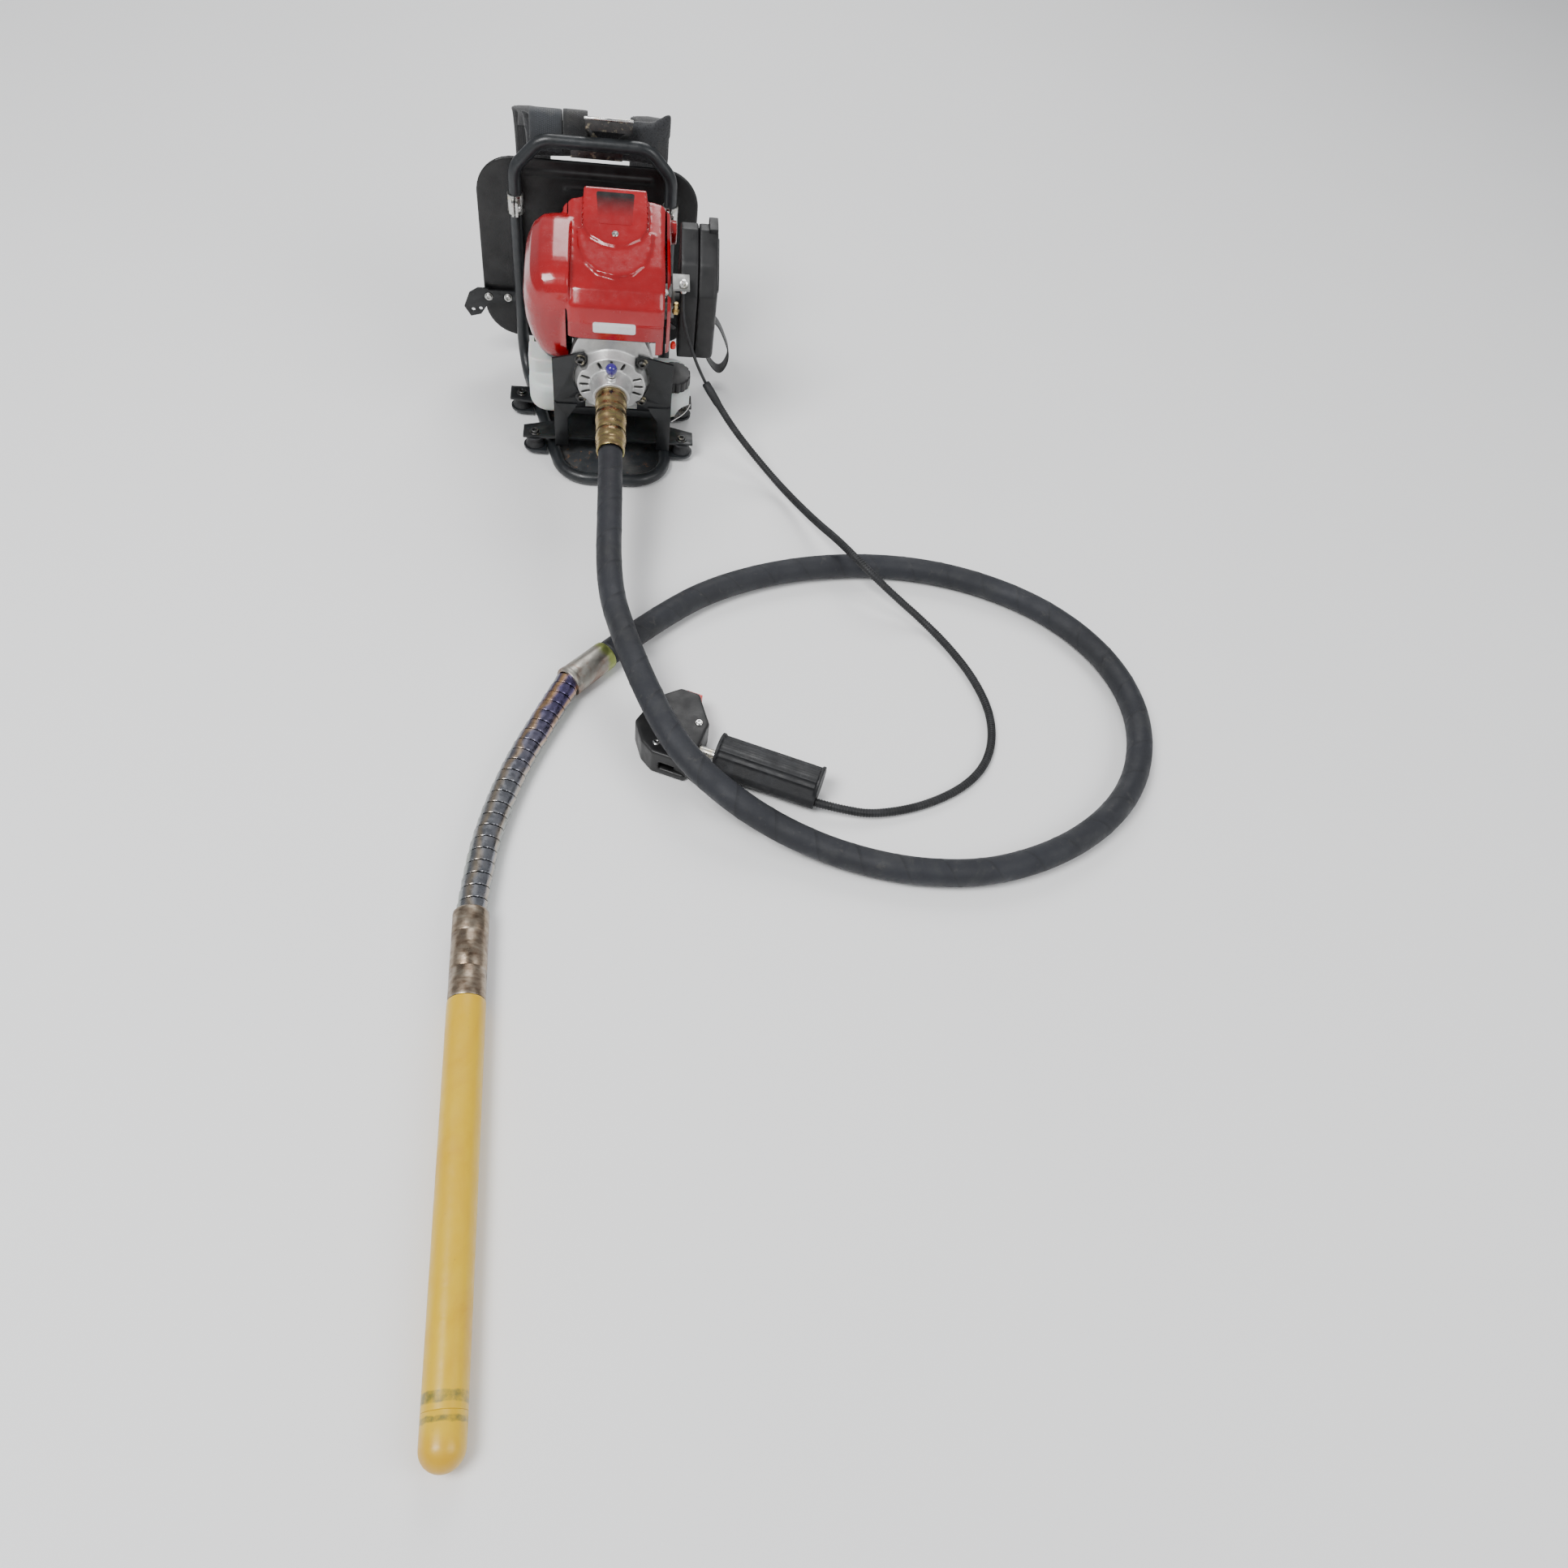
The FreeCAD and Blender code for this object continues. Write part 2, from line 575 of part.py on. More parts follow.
def clutch_shoes():
    """Two centrifugal shoes on the front end of the crankshaft."""
    shoes = []
    disc = ring((0, 8.0, 0), (0, 19.0, 0), DRUM_R - 5.0, 11.0)
    for side in (-1, 1):
        near = 2.0 * side
        far = 40.0 * side
        half = box(min(near, far), max(near, far), 7.0, 20.0, -40.0, 40.0)
        shoes.append(disc.common(half))
    hub = ring((0, 19.3, 0), (0, 23.0, 0), 20.0, CRANK_R)
    carrier = [rod((x, 17.0, 0), (x, 19.3, 0), 3.0) for x in (-20.0, 20.0)]
    return joined([hub] + carrier + shoes)


def clutch_drum():
    """Drum that the shoes drive, with its spindle in the nose bearing and a square drive end."""
    cup = rod((0, 1.0, 0), (0, 22.0, 0), DRUM_R)
    cup = cup.cut(rod((0, 4.0, 0), (0, 24.0, 0), DRUM_R - 3.0))
    spindle = rod((0, -12.0, 0), (0, 3.0, 0), 6.0)
    square = box(-3.5, 3.5, -22.0, -12.0, -3.5, 3.5)
    return joined([cup, spindle, square])


def flywheel():
    """Flywheel with cooling vanes on its rear face."""
    disc = rod((0, 106.0, 0), (0, 112.0, 0), FLYWHEEL_R)
    blades = []
    for i in range(12):
        blade = box(24.0, 46.0, 112.0, 122.0, -1.5, 1.5)
        blade.rotate(V(0, 0, 0), V(0, 1, 0), 30.0 * i)
        blades.append(blade)
    hub = rod((0, 104.0, 0), (0, 118.0, 0), 14.0)
    return joined([disc, hub] + blades).cut(rod((0, 100.0, 0), (0, 130.0, 0), CRANK_R))


ROPE_Y = 142.0
ROPE_Z = 27.2
POST_R = 7.0


def recoil_housing():
    """Rear housing: a slotted bowl around the flywheel, with the rope outlet on its right."""
    bowl = rod((0, 104.0, 0), (0, 160.0, 0), 60.0)
    bowl = bowl.cut(rod((0, 100.0, 0), (0, 156.0, 0), FLYWHEEL_R + 4.0))
    face = ring((0, 128.0, 0), (0, 131.0, 0), 55.0, 42.0)
    body = bowl.fuse(face)
    for i in range(12):
        slot = box(26.0, 46.0, 150.0, 164.0, -2.5, 2.5)
        slot.rotate(V(0, 0, 0), V(0, 1, 0), 30.0 * i + 15.0)
        body = body.cut(slot)
    outlet = rod((48.0, ROPE_Y, ROPE_Z), (64.0, ROPE_Y, ROPE_Z), 9.0)
    body = body.fuse(outlet).cut(rod((30.0, ROPE_Y, ROPE_Z), (70.0, ROPE_Y, ROPE_Z), 3.0))
    body = body.cut(rod((0, 110.0, 0), (0, 156.0, 0), FLYWHEEL_R - 6.0))
    post = rod((0, 134.0, 0), (0, 158.0, 0), POST_R)
    return body.fuse(post)


def recoil_pulley():
    body = rod((0, 136.0, 0), (0, 148.0, 0), 30.0)
    groove = ring((0, 139.0, 0), (0, 145.0, 0), 32.0, 25.0)
    return body.cut(groove).cut(rod((0, 130.0, 0), (0, 155.0, 0), POST_R + 0.05))


def starter_grip():
    """T handle with the first stretch of rope behind it."""
    bar = fillet_along(box(67.0, 79.0, 122.0, 162.0, 20.0, 32.0), (0, 1, 0), 5.0)
    stub = rod((-35.0, ROPE_Y, ROPE_Z), (68.0, ROPE_Y, ROPE_Z), 1.75)
    return bar.fuse(stub).removeSplitter()


COVER_X = (-60.0, 70.0)


def cover_profile(inset=0.0):
    """Side outline (y, z) of the red cover's centre, inset for the inner wall."""
    i = inset
    return [(4.0 + i, 62.0), (8.0 + i, 84.0 - 0.4 * i), (26.0 + i, 116.0 - 0.7 * i), (62.0, 128.0 - i),
            (110.0, 134.0 - i), (164.0 - i, 140.0 - i), (166.0 - i, 62.0)]


def top_cover():
    """Red moulded cover: a deep shell over cylinder and muffler with a raised scoop."""
    x0, x1 = COVER_X
    outer = plate_yz(cover_profile(), x0, x1)
    skirt = box(x0, -53.0, 4.0, 40.0, 40.0, 62.5)
    skirt_r = box(53.0, x1, 4.0, 40.0, 40.0, 62.5)
    inner = plate_yz([(y, z) for y, z in cover_profile(2.6)], x0 + 2.6, x1 - 2.6)
    inner_low = box(x0 + 2.6, x1 - 2.6, 6.6, 163.4, 30.0, 64.0)
    shell = outer.fuse(skirt).fuse(skirt_r).cut(inner).cut(inner_low)
    open_left = box(x0 - 1.0, x0 + 3.0, 20.0, 150.0, 60.0, 120.0)
    open_right = box(x1 - 3.0, x1 + 1.0, 32.0, 112.0, 50.0, 112.0)
    shell = shell.cut(open_left).cut(open_right)
    scoop_side = [(96.0, 131.0), (104.0, 139.0), (160.0, 148.0), (163.0, 139.0), (130.0, 135.0)]
    scoop = plate_yz(scoop_side, -36.0, 42.0)
    shell = shell.fuse(scoop).removeSplitter()
    for i in range(5):
        y = 116.0 + 8.0 * i
        z = 141.0 + 0.9 * i
        for x in (-36.0, 42.0):
            shell = shell.cut(box(x - 5.0, x + 5.0, y, y + 3.0, z - 3.0, z + 3.0))
    return shell


def left_bulge(shape, left, radius):
    """Round a block's left face and the edges that run back from it."""
    edges = []
    for edge in shape.Edges:
        on_left = max(v.X for v in edge.Vertexes) < left + 0.1
        if on_left or abs(edge.tangentAt(edge.FirstParameter).x) > 0.99:
            edges.append(edge)
    return shape.makeFillet(radius, edges)


def side_cover():
    """Bulged left cover over the muffler, closed at its outer side."""
    outer = left_bulge(box(-107.0, -60.3, 14.0, 158.0, -8.0, 134.0), -107.0, 24.0)
    inner = left_bulge(box(-104.4, -59.0, 16.6, 155.4, -5.4, 131.4), -104.4, 22.0)
    return outer.cut(inner)


def muffler():
    can = fillet_along(box(-96.0, -50.0, 40.0, 102.0, 10.0, 98.0), (1, 0, 0), 16.0)
    port = rod((-50.5, 66.0, 80.0), (-33.6, 66.0, 80.0), 10.0)
    return can.fuse(port).removeSplitter()


def spark_plug():
    metal = rod((0, 65.0, 99.0), (0, 65.0, 113.0), 5.0)
    hexagon = rod((0, 65.0, 112.1), (0, 65.0, 116.0), 8.0)
    insulator = rod((0, 65.0, 116.0), (0, 65.0, 124.0), 4.5)
    return joined([metal, hexagon, insulator])


AIR_OUTER = [
    (40.0, 8.0), (58.0, 2.0), (84.0, 12.0), (128.0, 92.0), (130.0, 138.0), (112.0, 142.0),
    (72.0, 124.0), (48.0, 96.0),
]
AIR_INNER = [(48.0, 18.0), (80.0, 20.0), (120.0, 94.0), (122.0, 130.0), (76.0, 116.0), (54.0, 90.0)]


def air_cleaner_case():
    """Black case beside the carburettor, open to its cover on the right."""
    block = plate_yz(AIR_OUTER, 82.0, 104.0)
    hollow = plate_yz(AIR_INNER, 86.0, 106.0)
    horn = rod((80.0, 66.0, 72.0), (87.0, 66.0, 72.0), 11.0)
    return block.cut(hollow).cut(horn)


def air_cleaner_cover():
    block = plate_yz(AIR_OUTER, 104.3, 128.0)
    hollow = plate_yz(AIR_INNER, 103.0, 124.0)
    crown = [e for e in block.Edges if min(v.X for v in e.Vertexes) > 127.9]
    return block.makeFillet(5.0, crown).cut(hollow)


def carburettor():
    body = fillet_along(box(46.0, 76.0, 50.0, 82.0, 58.0, 88.0), (1, 0, 0), 5.0)
    inlet = rod((33.6, 66.0, 72.0), (46.5, 66.0, 72.0), 12.0)
    outlet = rod((75.5, 66.0, 72.0), (84.5, 66.0, 72.0), 10.9)
    stay = box(72.0, 75.0, 42.0, 56.0, 84.0, 122.0)
    ear = box(72.0, 92.0, 30.0, 56.0, 119.0, 122.0)
    socket = ring((61.0, 66.0, 49.0), (61.0, 66.0, 58.5), 12.0, 9.06)
    whole = joined([body, inlet, outlet, stay, ear, socket])
    bore = rod((30.0, 66.0, 72.0), (90.0, 66.0, 72.0), 7.0)
    shaft = rod((61.0, 58.0, 86.0), (61.0, 58.0, 96.0), 2.55)
    nipple = rod((84.5, 36.0, 117.0), (84.5, 36.0, 124.0), 2.6)
    choke_hole = rod((62.0, 44.0, 66.0), (62.0, 56.0, 66.0), 2.06)
    return whole.cut(bore).cut(shaft).cut(nipple).cut(choke_hole)


def cable_adjuster():
    """Threaded adjuster that ends the throttle cable's outer at the carburettor stay."""
    stem = rod((84.5, 36.0, 114.2), (84.5, 36.0, 130.0), 2.55)
    nut = rod((84.5, 36.0, 122.2), (84.5, 36.0, 125.5), 5.0)
    collar = rod((84.5, 36.0, 114.2), (84.5, 36.0, 118.6), 4.5)
    return joined([stem, nut, collar])


def throttle_arm():
    shaft = rod((61.0, 58.0, 86.5), (61.0, 58.0, 93.0), 2.5)
    arm = plate_xy([(57.0, 54.0), (65.0, 54.0), (65.0, 62.0), (61.0, 76.0), (57.0, 76.0)], 89.0, 91.0)
    pulley = rod((61.0, 58.0, 88.6), (61.0, 58.0, 92.0), 7.5)
    return joined([shaft, arm, pulley])


def choke_lever():
    """Choke lever in front of the carburettor, turning on an axis along the crank."""
    shaft = rod((62.0, 36.5, 66.0), (62.0, 55.5, 66.0), 2.0)
    outline = [(58.0, 62.0), (66.0, 62.0), (76.0, 57.0), (79.0, 61.0), (68.0, 70.0), (58.0, 70.0)]
    blade = plate_xz(outline, 34.0, 36.5)
    return shaft.fuse(blade).removeSplitter()


def primer_bulb():
    """Soft priming bulb under the carburettor, pressed upwards with a thumb."""
    dome = Part.makeSphere(9.0, V(61.0, 66.0, 51.0), V(0, 0, -1), 0, 90)
    collar = rod((61.0, 66.0, 51.0), (61.0, 66.0, 53.5), 9.0)
    return dome.fuse(collar)


TANK_X = (-107.0, 104.0)


def fuel_tank():
    """Translucent tank slung under the crankcase, with a filler neck at its right front."""
    x0, x1 = TANK_X
    block = fillet_along(box(x0, x1, 30.0, 102.0, -92.0, -48.0), (0, 0, 1), 26.0)
    top = [e for e in block.Edges if min(v.Z for v in e.Vertexes) > -48.1]
    bottom = [e for e in block.Edges if max(v.Z for v in e.Vertexes) < -91.9]
    block = block.makeFillet(8.0, top + bottom)
    inner = box(x0 + 2.5, x1 - 2.5, 32.5, 99.5, -89.5, -50.5)
    inner = fillet_along(inner, (0, 0, 1), 23.0)
    neck = ring((82.0, 52.0, -52.0), (82.0, 52.0, -36.0), 17.0, 14.0)
    hole = rod((82.0, 52.0, -60.0), (82.0, 52.0, -30.0), 14.0)
    hump = fillet_along(box(x0, -64.0, 56.0, 100.0, -52.0, -26.0), (0, 0, 1), 12.0)
    hump_in = fillet_along(box(x0 + 2.5, -66.5, 58.5, 97.5, -56.0, -28.5), (0, 0, 1), 10.0)
    return block.fuse(hump).cut(inner).cut(hump_in).cut(hole).fuse(neck).removeSplitter()


CAP_GROOVES = 16


def fuel_cap():
    skirt = ring((82.0, 52.0, -46.0), (82.0, 52.0, -30.0), 21.0, 17.3)
    top = rod((82.0, 52.0, -35.6), (82.0, 52.0, -30.0), 21.0)
    cap = skirt.fuse(top).removeSplitter()
    for i in range(CAP_GROOVES):
        groove = rod((103.6, 52.0, -48.0), (103.6, 52.0, -28.0), 1.6)
        groove.rotate(V(82.0, 52.0, 0), V(0, 0, 1), 360.0 / CAP_GROOVES * i)
        cap = cap.cut(groove)
    return cap


# ---- flexible shaft -----------------------------------------------------------------------------
def hose_ferrule():
    """Plated ferrule between the hose and the bend guard, slightly coned, with a lip."""
    a = V(*HOSE_ROUTE[-1])
    b = V(*FLEX_ROUTE[0])
    along = (b - a).normalize()
    length = (b - a).Length
    body = Part.makeCone(FERRULE_R - 0.9, FERRULE_R - 0.2, length - 6.0, a, along)
    lip = Part.makeCylinder(FERRULE_R, 6.0, a + along * (length - 6.0), along)
    return body.fuse(lip).removeSplitter()


def head_connector():
    """Steel connector with a rounded shoulder, screwed over the end of the head tube."""
    r = HEAD_D / 2.0 - 0.3
    body = rod((0, -0.2, 0), (0, -CONNECTOR_LEN + 0.2, 0), r)
    shoulder = [e for e in body.Edges if isinstance(e.Curve, Part.Circle) and e.Curve.Center.y > -1.0]
    body = body.makeFillet(5.0, shoulder)
    return body.cut(rod((0, -12.0, 0), (0, -CONNECTOR_LEN - 1.0, 0), 11.0))


HEAD_START = -CONNECTOR_LEN
HEAD_END = -CONNECTOR_LEN - HEAD_LEN


def head_tube():
    r = HEAD_D / 2.0
    body = rod((0, HEAD_START, 0), (0, HEAD_END + 40.0, 0), r)
    return body.cut(rod((0, HEAD_START + 1.0, 0), (0, HEAD_END + 30.0, 0), r - HEAD_WALL))


def head_tip():
    """Round nose that closes the head tube."""
    r = HEAD_D / 2.0
    body = rod((0, HEAD_END + 39.8, 0), (0, HEAD_END + r, 0), r)
    return body.fuse(Part.makeSphere(r, V(0, HEAD_END + r, 0))).removeSplitter()


ROTOR_Y = (HEAD_START - 20.0, HEAD_START - 300.0)


def eccentric_rotor():
    """Out-of-balance weight on two journals."""
    y0, y1 = ROTOR_Y
    weight = rod((0, y0 - 30.0, 0), (0, y1 + 30.0, 0), 11.5)
    weight = weight.cut(box(-13.0, 13.0, y1 + 40.0, y0 - 40.0, 1.5, 13.0))
    front = rod((0, y0, 0), (0, y0 - 30.0, 0), 5.0)
    rear = rod((0, y1, 0), (0, y1 + 30.0, 0), 5.0)
    return joined([weight, front, rear])


def bearings():
    """The spindle bearing in the housing's nose and the rotor's three in the head."""
    y0, y1 = ROTOR_Y
    outer = HEAD_D / 2.0 - HEAD_WALL
    rotor = [ring((0, y, 0), (0, y - 9.0, 0), outer, 5.03) for y in (y0 - 4.0, y0 - 16.0, y1 + 24.0)]
    nose = ring((0, -11.5, 0), (0, 0.0, 0), 13.0, 6.03)
    return group([in_engine(nose)] + [in_head(race) for race in rotor])


# ---- hand control -------------------------------------------------------------------------------
STEM_R = 6.0
STEM_Y = -8.0


def handle_grip():
    """Ribbed rubber grip: round above, with a lobe below for the conduit, and a flange at each end."""
    core = rod((0, 0, GRIP_Z), (GRIP_LEN, 0, GRIP_Z), GRIP_R - 1.0)
    lobe = rod((3.0, -19.0, 14.0), (GRIP_LEN, -19.0, 14.0), 8.0)
    web = plate_yz([(-25.0, 20.0), (-12.0, 34.0), (-4.0, 3.4), (-17.0, 6.2)], 3.0, GRIP_LEN - 0.5)
    flanges = [rod((x, 0, GRIP_Z), (x + 3.5, 0, GRIP_Z), GRIP_R + 1.9) for x in (0.0, GRIP_LEN - 3.5)]
    ribs = []
    for i in range(11):
        angle = math.radians(-55.0 + 22.0 * i)
        y = (GRIP_R - 1.0) * math.sin(angle)
        z = GRIP_Z + (GRIP_R - 1.0) * math.cos(angle)
        ribs.append(rod((3.0, y, z), (GRIP_LEN - 3.0, y, z), 1.3))
    bore = rod((-1.0, STEM_Y, GRIP_Z), (GRIP_LEN - 12.0, STEM_Y, GRIP_Z), STEM_R + 0.02)
    return joined([core, lobe, web] + flanges + ribs).cut(bore)


def handle_tube():
    """Steel tube that carries the grip and is clamped in the switch housing."""
    return ring((-78.0, STEM_Y, GRIP_Z), (GRIP_LEN - 12.5, STEM_Y, GRIP_Z), STEM_R, STEM_R - 1.5)


PIVOT = (-30.0, -30.0)
TRIGGER_SLOT = (9.5, 18.5)


def handle_housing():
    """Switch and throttle housing clamped across the tube, with a slot for the trigger."""
    outline = [(-95.0, -6.0), (-78.0, -30.0), (-62.0, -40.0), (-24.0, -40.0), (-19.0, -24.0),
               (-19.0, 22.0), (-36.0, 46.0), (-44.0, 58.0), (-66.0, 58.0), (-88.0, 34.0)]
    block = plate_xy(outline, 0.4, 34.0)
    block = fillet_along(block, (0, 0, 1), 4.0)
    top = [e for e in block.Edges if min(v.Z for v in e.Vertexes) > 33.9]
    block = block.makeFillet(2.5, top)
    block = block.cut(rod((-79.0, STEM_Y, GRIP_Z), (-10.0, STEM_Y, GRIP_Z), STEM_R + 0.02))
    low, high = TRIGGER_SLOT
    slot = box(-54.0, -10.0, -50.0, -15.0, low - 0.6, high + 0.6)
    block = block.cut(slot)
    block = block.cut(rod((PIVOT[0], PIVOT[1], 0.0), (PIVOT[0], PIVOT[1], 40.0), 2.5))
    block = block.cut(box(-62.0, -40.0, 40.0, 62.0, 14.0, 28.0))
    return block


def throttle_trigger():
    """Long lever beside the grip; squeezing swings it towards the grip about the pin."""
    low, high = TRIGGER_SLOT
    outline = [(-38.0, -36.0), (-26.0, -38.0), (6.0, -52.0), (62.0, -58.0), (69.0, -54.0), (63.0, -50.0),
               (8.0, -44.0), (-14.0, -30.0), (-24.0, -23.0), (-38.0, -24.0)]
    lever = plate_xy(outline, low, high)
    hole = rod((PIVOT[0], PIVOT[1], low - 1.0), (PIVOT[0], PIVOT[1], high + 1.0), 2.55)
    return lever.cut(hole)


def stop_switch():
    """Red push switch in the housing's upper edge."""
    return box(-60.0, -42.0, 44.8, 63.0, 15.0, 27.0)


def screws():
    """Cover screws of the engine, and the screws and trigger pin of the hand control."""
    engine = [bolt((2.0, 92.0, 133.4), (0, -0.12, 1), 5.0, 3.0, 2.0, 1.0)]
    engine += [bolt((128.2, 92.0, 96.0), (1, 0, 0), 4.0, 2.5, 1.8, 0.1)]
    spots = ((-70.0, 18.0), (-30.0, 18.0), (-62.0, -26.0))
    hand = [bolt((x, y, 34.1), (0, 0, 1), 3.6, 1.8, 1.6, 0.05) for x, y in spots]
    hand.append(rod((PIVOT[0], PIVOT[1], 4.0), (PIVOT[0], PIVOT[1], 32.0), 2.5))
    return group([in_engine(s) for s in engine] + [in_hand(s) for s in hand])


# ---- assembly -----------------------------------------------------------------------------------
def build():
    nodes = {
        "base_loop": joined([base_loop()] + rail_ears()),
        "left_upright": upright(-1),
        "right_upright": upright(1),
        "top_bow": top_bow(),
        "tube_clamps": tube_clamps(),
        "base_plate": base_plate(),
        "rubber_mounts": rubber_mounts(),
        "sub_plate": sub_plate(),
        "engine_bracket": engine_bracket(),
        "cross_bar": cross_bar(),
        "back_panel": back_panel(),
        "back_pad": back_pad(),
        "neck_pad": neck_pad(),
        "strap_plate": strap_plate(),
        "shoulder_straps": group([shoulder_strap(x) for x in STRAP_X]),
        "strap_loop": strap_loop(),
        "frame_bolts": frame_bolts(),
        "bearings": bearings(),
        "hose": route_tube(HOSE_ROUTE, HOSE_D, "hose"),
        "hose_ferrule": hose_ferrule(),
        "flex_guard": route_tube(FLEX_ROUTE, FLEX_D, "flex_guard"),
        "throttle_cable": route_tube(CABLE_ROUTE, CABLE_D, "throttle_cable"),
        "cable_conduit": route_tube(CONDUIT_ROUTE, CONDUIT_D, "cable_conduit"),
        "screws": screws(),
    }
    engine = {
        "clutch_housing": clutch_housing, "housing_bolts": housing_bolts, "lock_knob": lock_knob,
        "coupling_sleeve": coupling_sleeve, "crankcase": crankcase, "cylinder": cylinder,
        "piston": piston, "crankshaft": crankshaft, "clutch_shoes": clutch_shoes,
        "clutch_drum": clutch_drum, "flywheel": flywheel,
        "recoil_housing": recoil_housing, "recoil_pulley": recoil_pulley,
        "starter_grip": starter_grip, "top_cover": top_cover, "side_cover": side_cover,
        "muffler": muffler,
        "spark_plug": spark_plug, "air_cleaner_case": air_cleaner_case,
        "air_cleaner_cover": air_cleaner_cover, "carburettor": carburettor,
        "cable_adjuster": cable_adjuster, "throttle_arm": throttle_arm, "choke_lever": choke_lever,
        "primer_bulb": primer_bulb, "fuel_tank": fuel_tank, "fuel_cap": fuel_cap,
    }
    head = {
        "head_connector": head_connector, "head_tube": head_tube, "head_tip": head_tip,
        "eccentric_rotor": eccentric_rotor,
    }
    hand = {
        "handle_grip": handle_grip, "handle_tube": handle_tube, "handle_housing": handle_housing,
        "throttle_trigger": throttle_trigger, "stop_switch": stop_switch,
    }
    for makers, place in ((engine, in_engine), (head, in_head), (hand, in_hand)):
        for name, make in makers.items():
            nodes[name] = place(make())
    return nodes


os.makedirs("parts", exist_ok=True)
for node, shape in build().items():
    solids = shape.Solids
    if not solids or not shape.isValid():
        raise RuntimeError("%s: %d solids, valid %s" % (node, len(solids), shape.isValid()))
    whole = solids[0] if len(solids) == 1 else Part.makeCompound(solids)
    whole.exportStep("parts/%s.step" % node)
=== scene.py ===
"""Looks for a backpack concrete vibrator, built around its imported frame.

The file is laid out as an add-on and run as a script. Every piece is made by one operator, in metres,
in the frame's own axes: origin on the floor under the base plate, +Z up, -Y to the front.
"""
import math
from contextlib import contextmanager

import bmesh
import bpy
from mathutils import Matrix, Vector


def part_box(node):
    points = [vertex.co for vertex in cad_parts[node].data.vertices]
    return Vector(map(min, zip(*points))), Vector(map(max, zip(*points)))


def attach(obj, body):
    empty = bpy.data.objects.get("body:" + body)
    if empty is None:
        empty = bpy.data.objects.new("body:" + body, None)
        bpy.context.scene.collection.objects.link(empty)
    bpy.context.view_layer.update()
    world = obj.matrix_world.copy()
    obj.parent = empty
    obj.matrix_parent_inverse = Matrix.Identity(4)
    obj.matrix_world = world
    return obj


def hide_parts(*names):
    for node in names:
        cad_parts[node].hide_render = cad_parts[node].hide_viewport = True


bl_info = {
    "name": "Concrete Vibrator Looks",
    "version": (1, 0, 0),
    "blender": (4, 5, 0),
    "location": "View3D > Sidebar > Vibrator",
    "description": "Builds the visible pieces of a backpack concrete vibrator around its frame",
    "category": "Object",
}

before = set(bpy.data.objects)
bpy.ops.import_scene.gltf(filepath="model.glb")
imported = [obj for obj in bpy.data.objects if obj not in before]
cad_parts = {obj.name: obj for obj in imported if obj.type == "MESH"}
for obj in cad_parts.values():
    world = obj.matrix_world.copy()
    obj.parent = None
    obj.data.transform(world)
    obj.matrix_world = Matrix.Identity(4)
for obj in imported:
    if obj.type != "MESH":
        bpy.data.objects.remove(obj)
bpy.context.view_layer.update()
MM = 0.001

UP = Vector((0, 0, 1))

# What counts as on the axis in millimetres, as one point in metres, as flat and as a sharp edge.
ON_AXIS = 1e-6
MERGE_GAP = 1e-5
FLAT_ANGLE = math.radians(1)
SHARP_ANGLE = math.radians(40)

# Steps of a spline's span, and how far above a surface its label starts in metres.
SPLINE_STEPS = 12
DROP_FROM = 0.03


def shift(x, y, z):
    """Matrix of a move in millimetres."""
    return Matrix.Translation(Vector((x, y, z)) * MM)


# Axes of the groups that the frame sets down at an angle, and of a turned part lying down.
ENGINE = shift(-5.0, -105.0, 125.0) @ Matrix.Rotation(math.radians(10.0), 4, "X")
HEAD = shift(-131.5, -815.5, 17.5) @ Matrix.Rotation(math.radians(1.8), 4, "Z")
HAND = shift(114.6, -615.8, 0.0) @ Matrix.Rotation(math.radians(-22.9), 4, "Z")
LYING = Matrix.Rotation(math.radians(90), 4, "X")

# Routes of the free lines in metres: the control points of one smooth spline each.
HOSE_ROUTE = [
    (-0.005, -0.2213, 0.1044), (-0.005, -0.290, 0.0923), (-0.006, -0.419, 0.076), (0.012, -0.490, 0.066),
    (0.037, -0.566, 0.060), (0.067, -0.638, 0.055), (0.115, -0.687, 0.041), (0.176, -0.722, 0.022),
    (0.246, -0.752, 0.015), (0.325, -0.771, 0.015), (0.412, -0.768, 0.015), (0.511, -0.727, 0.015),
    (0.586, -0.656, 0.015), (0.620, -0.559, 0.015), (0.605, -0.462, 0.015), (0.546, -0.380, 0.015),
    (0.457, -0.327, 0.015), (0.359, -0.304, 0.015), (0.251, -0.310, 0.015), (0.150, -0.342, 0.015),
    (0.069, -0.393, 0.015), (-0.007, -0.474, 0.0175),
]
GUARD_ROUTE = [
    (-0.049, -0.5185, 0.0175), (-0.073, -0.571, 0.0155), (-0.098, -0.630, 0.015),
    (-0.117, -0.695, 0.015), (-0.128, -0.756, 0.0155), (-0.1315, -0.8155, 0.0175),
]
CABLE_ROUTE = [
    (0.0795, -0.0893, 0.2435), (0.080, -0.086, 0.217), (0.086, -0.088, 0.189), (0.096, -0.086, 0.160),
    (0.107, -0.077, 0.129), (0.118, -0.064, 0.101),
]
CONDUIT_ROUTE = [
    (0.118, -0.064, 0.101), (0.137, -0.080, 0.078), (0.160, -0.098, 0.053), (0.190, -0.122, 0.029),
    (0.225, -0.161, 0.011), (0.257, -0.239, 0.027), (0.279, -0.300, 0.048), (0.306, -0.346, 0.048),
    (0.342, -0.370, 0.027), (0.380, -0.396, 0.009), (0.409, -0.438, 0.005), (0.431, -0.491, 0.0052),
    (0.441, -0.549, 0.005), (0.428, -0.606, 0.005), (0.395, -0.647, 0.0052), (0.341, -0.676, 0.005),
    (0.286, -0.689, 0.0065), (0.252, -0.688, 0.0105), (0.2163, -0.6792, 0.014),
]

